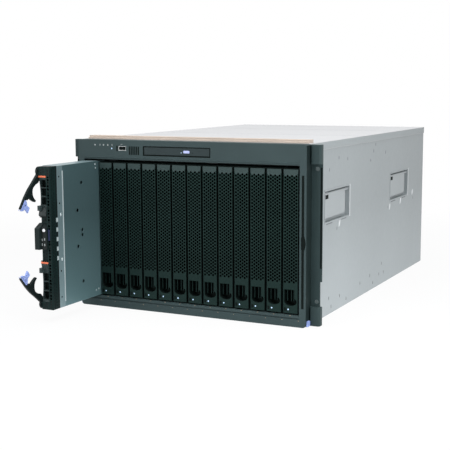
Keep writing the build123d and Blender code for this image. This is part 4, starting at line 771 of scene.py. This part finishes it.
def make_frame_details():
    """Painted shade in the grooves and on the flanks of the bezel, spots on its ledge and the black edges of
    the ears.
    """
    front = low("front_bezel")[1] + BEAD
    gaps = bmesh.new()
    for side in (-1, 1):
        x = side * GROOVE_X
        pull = [(x + side * (GROOVE_HALF + PULL_OUT * math.sin(math.pi * i / PULL_STEPS)),
                 PULL_HEIGHT + PULL_HALF * (2 * i / PULL_STEPS - 1)) for i in range(PULL_STEPS + 1)]
        groove = [(x - side * GROOVE_HALF, end) for end in GROOVE_ENDS]
        foot, tip = ((x + side * GROOVE_HALF, end) for end in GROOVE_ENDS)
        groove += [tip] + pull[::-1] + [foot]
        # Dark plate over the groove and its finger pull: painted shade
        prism(gaps, groove, front - GAP_PROUD, front + GROOVE_SUNK)
        inner, outer, strip_low, strip_high = EAR_STRIP
        strip = rectangle(*sorted((side * inner, side * outer)), strip_low, strip_high)
        prism(gaps, strip, *EAR_STRIP_DEPTHS)
    join_piece(finish_mesh("groove_shade_and_ear_edges", gaps, SHADE_AND_EDGE_BLACK), "chassis", "black_plastic")
    spots = bmesh.new()
    for bay in BAYS:
        x = (bay - MIDDLE_BAY) * BAY_PITCH
        for across, up, inwards in LEDGE_SPOTS:
            spot = rectangle(x + across[0], x + across[1], *up)
            prism(spots, spot, front + inwards[0], front + inwards[1])
    join_piece(finish_mesh("ledge_spots", spots, LEDGE_SPOT), "chassis", "bezel_plastic")
    # Darker plates on the bezel's side faces: painted shade
    flanks = bmesh.new()
    bottom, top = low("front_bezel")[2] + FLANK_EDGE, high("front_bezel")[2] - FLANK_EDGE
    for side in (-1, 1):
        face = side * high("front_bezel")[0]
        flank = rectangle(front + FLANK_EDGE, FLANK_REAR, bottom, top)
        prism(flanks, flank, face - side * FLANK_HALF, face + side * FLANK_HALF, "x")
    join_piece(finish_mesh("bezel_flank_shade", flanks, PANEL_PLASTIC), "chassis", "bezel_plastic")


# Blade

def perforate(bm, field, shown, base, axis="y"):
    """Skin with staggered air holes over a rectangle."""
    ring = perforated_face(bm, field, GRILLE_HOLE, GRILLE_STEP, GRILLE_PITCH, shown, base, axis)
    wall(bm, ring, loop_vertices(bm, rectangle(*field), base, axis))


def make_grille():
    """Perforated skin on the face and the right side of the blade's front."""
    _, front, bottom = low("blade_front")
    right, back, top = high("blade_front")
    bottom, top = bottom + GRILLE_RIM, top - GRILLE_RIM
    left, middle = low("upper_drive")[0], high("upper_drive")[0]
    skin = bmesh.new()
    for field in ((middle + GRILLE_RIM, right - GRILLE_RIM, bottom, top),
                  (left, middle, high("upper_drive")[2] + GRILLE_RIM, top),
                  (left, middle, bottom, low("lower_drive")[2] - GRILLE_RIM)):
        perforate(skin, field, front - GRILLE_SKIN, front + TRIM_SUNK)
    sunk = front + GRILLE_SETBACK
    for field in ((left, middle, high("control_panel")[2], low("upper_drive")[2] - GRILLE_MARGIN),
                  (left, middle, high("lower_drive")[2] + GRILLE_MARGIN, low("control_panel")[2])):
        perforate(skin, field, sunk - GRILLE_SKIN, sunk + TRIM_SUNK)
    side = (front + GRILLE_RIM, back - TAB_LENGTH, bottom, top)
    perforate(skin, side, right + GRILLE_SKIN, right - TRIM_SUNK, "x")
    join_piece(finish_mesh("blade_grille", skin, GRILLE_PLASTIC), "blade", "black_plastic")


def make_blade_marks():
    """Bright fold, tabs and rivets of the blade's side, and the plate and marks of its control panel."""
    front = low("blade_front")[1]
    right, back, top = high("blade_front")
    seam = low("blade_cover")[1]
    fold = bmesh.new()
    bottom = low("blade_front")[2] + FOLD_END
    outline = rectangle(seam - FOLD_WIDTH / 2, seam + FOLD_WIDTH / 2, bottom, top - FOLD_END)
    prism(fold, outline, right - TRIM_SUNK, right + FOLD_PROUD, "x")
    for z in TAB_PLACES:
        tab = rectangle(back - TAB_LENGTH + TAB_GAP, back, z - TAB_HALF, z + TAB_HALF)
        prism(fold, tab, right - TRIM_SUNK, right + FOLD_PROUD, "x")
    join_piece(finish_mesh("blade_fold", fold, FOLD_STEEL, FOLD_EDGE), "blade", "blade_steel")
    rivets = bmesh.new()
    for y, z in STRIP_BUMPS:
        bump(rivets, (right, y, z), STRIP_BUMP_RADII, 0.0)
    for y, z in COVER_RIVETS:
        bump(rivets, (right, y, z), COVER_RIVET_RADII, 0.0)
    join_piece(finish_mesh("blade_rivets", rivets, FOLD_STEEL), "blade", "blade_steel")
    # Dark discs in the strip's holes: painted shade
    gaps = bmesh.new()
    for y, z in STRIP_HOLES:
        hole = disc(y, z, STRIP_HOLE_RADIUS, SMALL_FLATS)
        prism(gaps, hole, right - STRIP_HOLE_SUNK, right + STRIP_HOLE_PROUD, "x")
    join_piece(finish_mesh("strip_hole_shade", gaps, SHADE_AND_EDGE_BLACK), "blade", "black_plastic")
    face = front - PANEL_PROUD
    button = [middle_of("power_button", axis) for axis in (0, 2)]
    plate = bmesh.new()
    plate_right = high("control_panel")[0] - PLATE_RIGHT_RIM
    plate_low = low("control_panel")[2] + PLATE_LOW_RIM
    outline = rectangle(PLATE_LEFT, plate_right, plate_low, PLATE_HIGH)
    pierced_skin(plate, outline, disc(*button, BUTTON_ROOM), face - PLATE_PROUD, face + TRIM_SUNK)
    join_piece(finish_mesh("panel_plate", plate, DARK_PAINT_AND_GAP_SHADE), "blade", "black_plastic")
    marks = bmesh.new()
    for x, z in PANEL_MARKS:
        mark = rectangle(x - PANEL_MARK_HALF, x + PANEL_MARK_HALF, z, z + PANEL_MARK_HEIGHT)
        prism(marks, mark, face - PANEL_MARK_PROUD, face + PRINT_SUNK)
    join_piece(finish_mesh("panel_marks", marks, PRINT_GREY), "blade", "bezel_plastic")
    label = bmesh.new()
    prism(label, rectangle(*LABEL), front - LABEL_PROUD, front + TRIM_SUNK)
    join_piece(finish_mesh("panel_label", label, NAVY_LABEL), "blade", "black_plastic")


def make_lever_tips():
    """Blue faces on both sides of each lever's tip, in its open rest pose."""
    for node, (pivot_z, turn, direction) in LEVER_PIVOTS.items():
        cosine, sine = math.cos(math.radians(turn)), math.sin(math.radians(turn))
        outline = []
        for outward, along in LEVER_TIP:
            y, z = -outward, direction * along
            outline.append((LEVER_PIVOT_Y + y * cosine - z * sine, pivot_z + y * sine + z * cosine))
        tip = bmesh.new()
        prism(tip, outline, low(node)[0] - TIP_PROUD, low(node)[0] - TIP_GAP, "x")
        prism(tip, outline, high(node)[0] + TIP_GAP, high(node)[0] + TIP_PROUD, "x")
        join_piece(finish_mesh(node + "_tip", tip, MATERIALS["blue_touch"]), node, "blue_touch")


def make_drive_details():
    """Painted shade on the floors in the windows of both drives, and the steel foot of the upper one."""
    for node, (window_low, window_high) in WINDOWS.items():
        left, right = low(node)[0] + WINDOW_SIDE, high(node)[0] - WINDOW_SIDE
        floor = low("blade_front")[1] + WINDOW_DEPTH
        pitch = (window_high - window_low) / WINDOW_COUNT
        # Dark plates in each window: painted shade
        gaps = bmesh.new()
        for index in range(WINDOW_COUNT):
            start = window_low + index * pitch + WINDOW_BAR / 2
            window = rectangle(left, right, start, start + pitch - WINDOW_BAR)
            prism(gaps, window, floor - WINDOW_FLOOR_HIGH, floor - WINDOW_FLOOR_LOW)
        join_piece(finish_mesh(node + "_gaps", gaps, SHADE_AND_EDGE_BLACK), node, "black_plastic")
    front = low("blade_front")[1]
    foot = bmesh.new()
    profile = [(front + inwards, z) for inwards, z in FOOT_PROFILE]
    prism(foot, profile, low("upper_drive")[0] + FOOT_SIDE, high("upper_drive")[0] - FOOT_SIDE, "x")
    join_piece(finish_mesh("carrier_foot", foot, FOOT_STEEL, FOOT_EDGE), "upper_drive", "disk_metal")


# Chassis sides

def make_side_details():
    """Rims of the handle windows, painted highlights on their rear edges and on the pressings, painted shade
    under the rims, and dark dimples of both side sheets.
    """
    face = high("chassis_shell")[0]
    steel = bmesh.new()
    dark = bmesh.new()
    painted_highlight = bmesh.new()
    for side in (-1, 1):
        base, proud = side * (face - TRIM_SUNK), side * (face + RIM_PROUD)
        for place in ("front", "rear"):
            middle = middle_of(place + "_right_handle", 1)
            y0, y1, z0, z1 = HANDLE_WINDOW
            outline = rectangle(middle + y0 - RIM, middle + y1 + RIM, z0 - RIM, z1 + RIM)
            pierced_skin(steel, outline, rectangle(middle + y0, middle + y1, z0, z1), proud, base, "x")
            # Light strip along the window's rear edge: painted highlight
            edge = rectangle(middle + y1 + SIDE_RIM_GAP, middle + y1 + SIDE_RIM, z0 - RIM, z1 + RIM)
            prism(painted_highlight, edge, base, side * (face + SIDE_RIM_PROUD), "x")
            # Dark bars under the rim: painted shade
            bar_heights = [z0 - RIM - drop for drop in SIDE_BAR_DROP]
            for start, end in SIDE_SHADE_BARS:
                bar = rectangle(middle + start, middle + end, *bar_heights)
                prism(dark, bar, base, side * (face + SIDE_BAR_PROUD), "x")
            # Pressings in the bright finish: painted glints
            for y, z in BUMPS[place]:
                bump(painted_highlight, (side * face, middle + y, z), BUMP_RADII, BUMP_TILT)
        for y, z in DIMPLES:
            dimple = disc(y, z, DIMPLE_RADIUS, DIMPLE_FLATS, DIMPLE_STRETCH)
            prism(dark, dimple, base, side * (face + DIMPLE_PROUD), "x")
    join_piece(finish_mesh("side_pressings", steel, MATERIALS["chassis_steel"]), "chassis", "chassis_steel")
    join_piece(finish_mesh("side_painted_highlights", painted_highlight, PAINTED_HIGHLIGHT_STEEL), "chassis", "chassis_steel")
    join_piece(finish_mesh("side_shade_and_dimples", dark, SIDE_SHADE_AND_SPOT), "chassis", "chassis_steel")


def make_handle_details():
    """Painted shade in the slot of each folding handle."""
    for place in ("front", "rear"):
        for name, side in (("left", -1), ("right", 1)):
            node = place + "_" + name + "_handle"
            middle = middle_of(node, 1)
            face = high(node)[0] if side > 0 else low(node)[0]
            gaps = bmesh.new()
            # Dark plate over the slot: painted shade
            y0, y1, z0, z1 = HANDLE_SLOT
            slot = rectangle(middle + y0, middle + y1, z0, z1)
            prism(gaps, slot, face - side * SLOT_SUNK, face + side * SLOT_PROUD, "x")
            join_piece(finish_mesh(node + "_gaps", gaps, SHADE_AND_EDGE_BLACK), node, "handle_steel")


def make_lid_seams():
    """Seams across the lid, and the bare sheet of its side lips."""
    face = high("top_cover")[2]
    half = high("top_cover")[0] - SEAM_END
    seams = bmesh.new()
    for y in SEAMS:
        seam = rectangle(y - SEAM_HALF, y + SEAM_HALF, face - TRIM_SUNK, face + SEAM_PROUD)
        prism(seams, seam, -half, half, "x")
    join_piece(finish_mesh("lid_seams", seams, LID_SEAM), "chassis", "lid_paint")
    lips = bmesh.new()
    bottom, edge = low("top_cover"), high("top_cover")
    for side in (-1, 1):
        lip = rectangle(bottom[1] + LIP_EDGE, edge[1] - LIP_EDGE, bottom[2] + LIP_EDGE, edge[2] - LIP_EDGE)
        prism(lips, lip, side * (edge[0] - LIP_HALF), side * (edge[0] + LIP_HALF), "x")
    join_piece(finish_mesh("lid_lips", lips, MATERIALS["chassis_steel"]), "chassis", "chassis_steel")


# Rear

def make_grille_rings():
    """Round rings on the grille of each blower."""
    face = high("rear_cage")[1]
    for node in ("upper_blower", "lower_blower"):
        middle = [middle_of(node, axis) for axis in (0, 2)]
        rings = bmesh.new()
        base, crest = face - TRIM_SUNK, face + RING_PROUD
        for inner, outer in GRILLE_RINGS:
            edges = [loop_vertices(rings, disc(*middle, radius, RING_COUNT), depth) for radius, depth in (
                (inner, base), (inner, crest), (outer, crest), (outer, base))]
            for index, edge in enumerate(edges):
                wall(rings, edges[index - 1], edge)
        grille = finish_mesh(node + "_rings", rings, MATERIALS["module_steel"], RING_EDGE)
        join_piece(grille, node, "module_steel")


# CAD nodes keep their shapes and get rounded edges and finishes

SOFT_EDGES = {
    "front_bezel": 0.8, "rack_ears": 0.6, "top_cover": 0.5, "chassis_shell": 0.25, "blade_cover": 0.3,
    "blade_tray": 0.3, "blade_front": 0.3, "control_panel": 0.5, "upper_lever": 0.4, "lower_lever": 0.4,
    "upper_lever_release": 0.4, "lower_lever_release": 0.4, "upper_drive": 0.35, "lower_drive": 0.35,
    "disc_tray": 0.3, "eject_button": 0.25, "power_button": 0.3, "seal_strip": 0.4,
}
OWN_FINISH = {
    "eject_button": DRIVE_LIGHT, "disc_tray": DRIVE_FACE, "upper_drive": CARRIER_PLASTIC,
    "lower_drive": CARRIER_PLASTIC, "blade_tray": STRIP_STEEL, "media_tray": DARK_PAINT_AND_GAP_SHADE,
    # The upper bay guide gets this dark finish as painted shade in the gap above the fillers
    "upper_bay_guide": DARK_PAINT_AND_GAP_SHADE, "control_panel": PANEL_PLASTIC,
}


def dress_nodes():
    """Give every CAD node its material and rounded edges."""
    for row in frame["record"]["subparts"]:
        node = frame["nodes"][row["node"]]
        node.data.materials.clear()
        node.data.materials.append(MATERIALS[row["material_slot"]])
        weld = node.modifiers.new("weld", "WELD")
        weld.merge_threshold = WELD_REACH
        soften(node, SOFT_EDGES.get(row["node"], SOFT_EDGE))
    for name, material in OWN_FINISH.items():
        frame["nodes"][name].data.materials[0] = material


# Stage, light and camera

def camera_ray_mix(tree, shown, lighting):
    """Shader with one look for the camera and in reflections, and another for the light that it gives."""
    path = tree.nodes.new("ShaderNodeLightPath")
    seen = path.outputs["Is Camera Ray"]
    for ray in ("Is Glossy Ray", "Is Transmission Ray"):
        either = tree.nodes.new("ShaderNodeMath")
        either.operation = "MAXIMUM"
        tree.links.new(seen, either.inputs[0])
        tree.links.new(path.outputs[ray], either.inputs[1])
        seen = either.outputs["Value"]
    mix = tree.nodes.new("ShaderNodeMixShader")
    tree.links.new(seen, mix.inputs["Fac"])
    tree.links.new(lighting, mix.inputs[1])
    tree.links.new(shown, mix.inputs[2])
    return mix.outputs["Shader"]


def make_floor():
    """Wide pale floor that shows white, with the object's shadow near it."""
    bm = bmesh.new()
    bmesh.ops.create_grid(bm, x_segments=1, y_segments=1, size=FLOOR_HALF)
    material = bpy.data.materials.new("pale_floor")
    material.use_nodes = True
    tree = material.node_tree
    tree.nodes.remove(tree.nodes["Principled BSDF"])
    matte = tree.nodes.new("ShaderNodeBsdfDiffuse")
    white = tree.nodes.new("ShaderNodeEmission")
    white.inputs["Strength"].default_value = 1.0
    place = tree.nodes.new("ShaderNodeTexCoord")
    reach = tree.nodes.new("ShaderNodeVectorMath")
    reach.operation = "LENGTH"
    tree.links.new(place.outputs["Object"], reach.inputs[0])
    lit = tree.nodes.new("ShaderNodeVectorMath")
    lit.operation = "DISTANCE"
    lit.inputs[1].default_value = FLOOR_BRIGHT
    tree.links.new(place.outputs["Object"], lit.inputs[0])
    span = tree.nodes.new("ShaderNodeMath")
    span.operation = "DIVIDE"
    span.inputs[1].default_value = FLOOR_REACH
    tree.links.new(lit.outputs["Value"], span.inputs[0])
    tone = ramp(tree, span.outputs["Value"], FLOOR_NEAR_TONE, FLOOR_FAR_TONE, *FLOOR_TONE_SPAN)
    tree.links.new(tone.outputs["Color"], matte.inputs["Color"])
    fade = tree.nodes.new("ShaderNodeMapRange")
    fade.inputs["From Min"].default_value = FLOOR_FADE[0]
    fade.inputs["From Max"].default_value = FLOOR_FADE[1]
    fade.inputs["To Min"].default_value = FLOOR_WHITE[0]
    fade.inputs["To Max"].default_value = FLOOR_WHITE[1]
    tree.links.new(reach.outputs["Value"], fade.inputs["Value"])
    shown = tree.nodes.new("ShaderNodeMixShader")
    tree.links.new(fade.outputs["Result"], shown.inputs["Fac"])
    tree.links.new(matte.outputs["BSDF"], shown.inputs[1])
    tree.links.new(white.outputs["Emission"], shown.inputs[2])
    result = camera_ray_mix(tree, shown.outputs["Shader"], matte.outputs["BSDF"])
    tree.links.new(result, tree.nodes["Material Output"].inputs["Surface"])
    floor = finish_mesh("floor", bm, material)


def make_world():
    """White surroundings for the camera, and light that is strongest from above and the back left."""
    world = bpy.data.worlds.new("studio")
    bpy.context.scene.world = world
    world.use_nodes = True
    tree = world.node_tree
    place = tree.nodes.new("ShaderNodeTexCoord")
    toward = tree.nodes.new("ShaderNodeVectorMath")
    toward.operation = "DOT_PRODUCT"
    toward.inputs[1].default_value = SKY_TOWARD
    tree.links.new(place.outputs["Generated"], toward.inputs[0])
    sky = ramp(tree, toward.outputs["Value"], SKY_DIM, SKY_BRIGHT, *SKY_SPAN)
    soft = tree.nodes["Background"]
    tree.links.new(sky.outputs["Color"], soft.inputs["Color"])
    soft.inputs["Strength"].default_value = 1.0
    white = tree.nodes.new("ShaderNodeBackground")
    white.inputs["Color"].default_value = (1.0, 1.0, 1.0, 1.0)
    result = camera_ray_mix(tree, white.outputs["Background"], soft.outputs["Background"])
    tree.links.new(result, tree.nodes["World Output"].inputs["Surface"])


def make_light(name, place, target, size, power):
    """Square soft light aimed at a point, sizes and places in metres."""
    data = bpy.data.lights.new(name, "AREA")
    data.energy = power
    data.size = size
    lamp = bpy.data.objects.new(name, data)
    bpy.context.collection.objects.link(lamp)
    lamp.location = place
    lamp.rotation_euler = (Vector(target) - Vector(place)).to_track_quat("-Z", "Y").to_euler()


def make_camera():
    """Camera to the front right, a little above the lid."""
    data = bpy.data.cameras.new("camera")
    data.sensor_width = SENSOR
    data.lens = CAMERA_FOCAL_PIXELS / IMAGE_SIDE * SENSOR
    data.clip_end = CAMERA_CLIP_METRES
    camera = bpy.data.objects.new("camera", data)
    bpy.context.collection.objects.link(camera)
    yaw, pitch, roll = CAMERA_YAW, CAMERA_PITCH, CAMERA_ROLL
    forward = Vector((-math.sin(yaw) * math.cos(pitch), math.cos(yaw) * math.cos(pitch), -math.sin(pitch)))
    level = Vector((math.cos(yaw), math.sin(yaw), 0.0))
    upright = level.cross(forward)
    right = level * math.cos(roll) + upright * math.sin(roll)
    up = upright * math.cos(roll) - level * math.sin(roll)
    turn = Matrix((right, up, -forward)).transposed().to_4x4()
    camera.matrix_world = Matrix.Translation(Vector(CAMERA_PLACE) * MM) @ turn
    bpy.context.scene.camera = camera


dress_nodes()
make_fillers()
make_media_panel()
make_frame_details()
make_grille()
make_blade_marks()
make_lever_tips()
make_drive_details()
make_side_details()
make_handle_details()
make_lid_seams()
make_grille_rings()
make_floor()
make_world()
for light_row in LIGHTS:
    make_light(*light_row)
make_camera()
bpy.context.scene.view_settings.view_transform = "Standard"
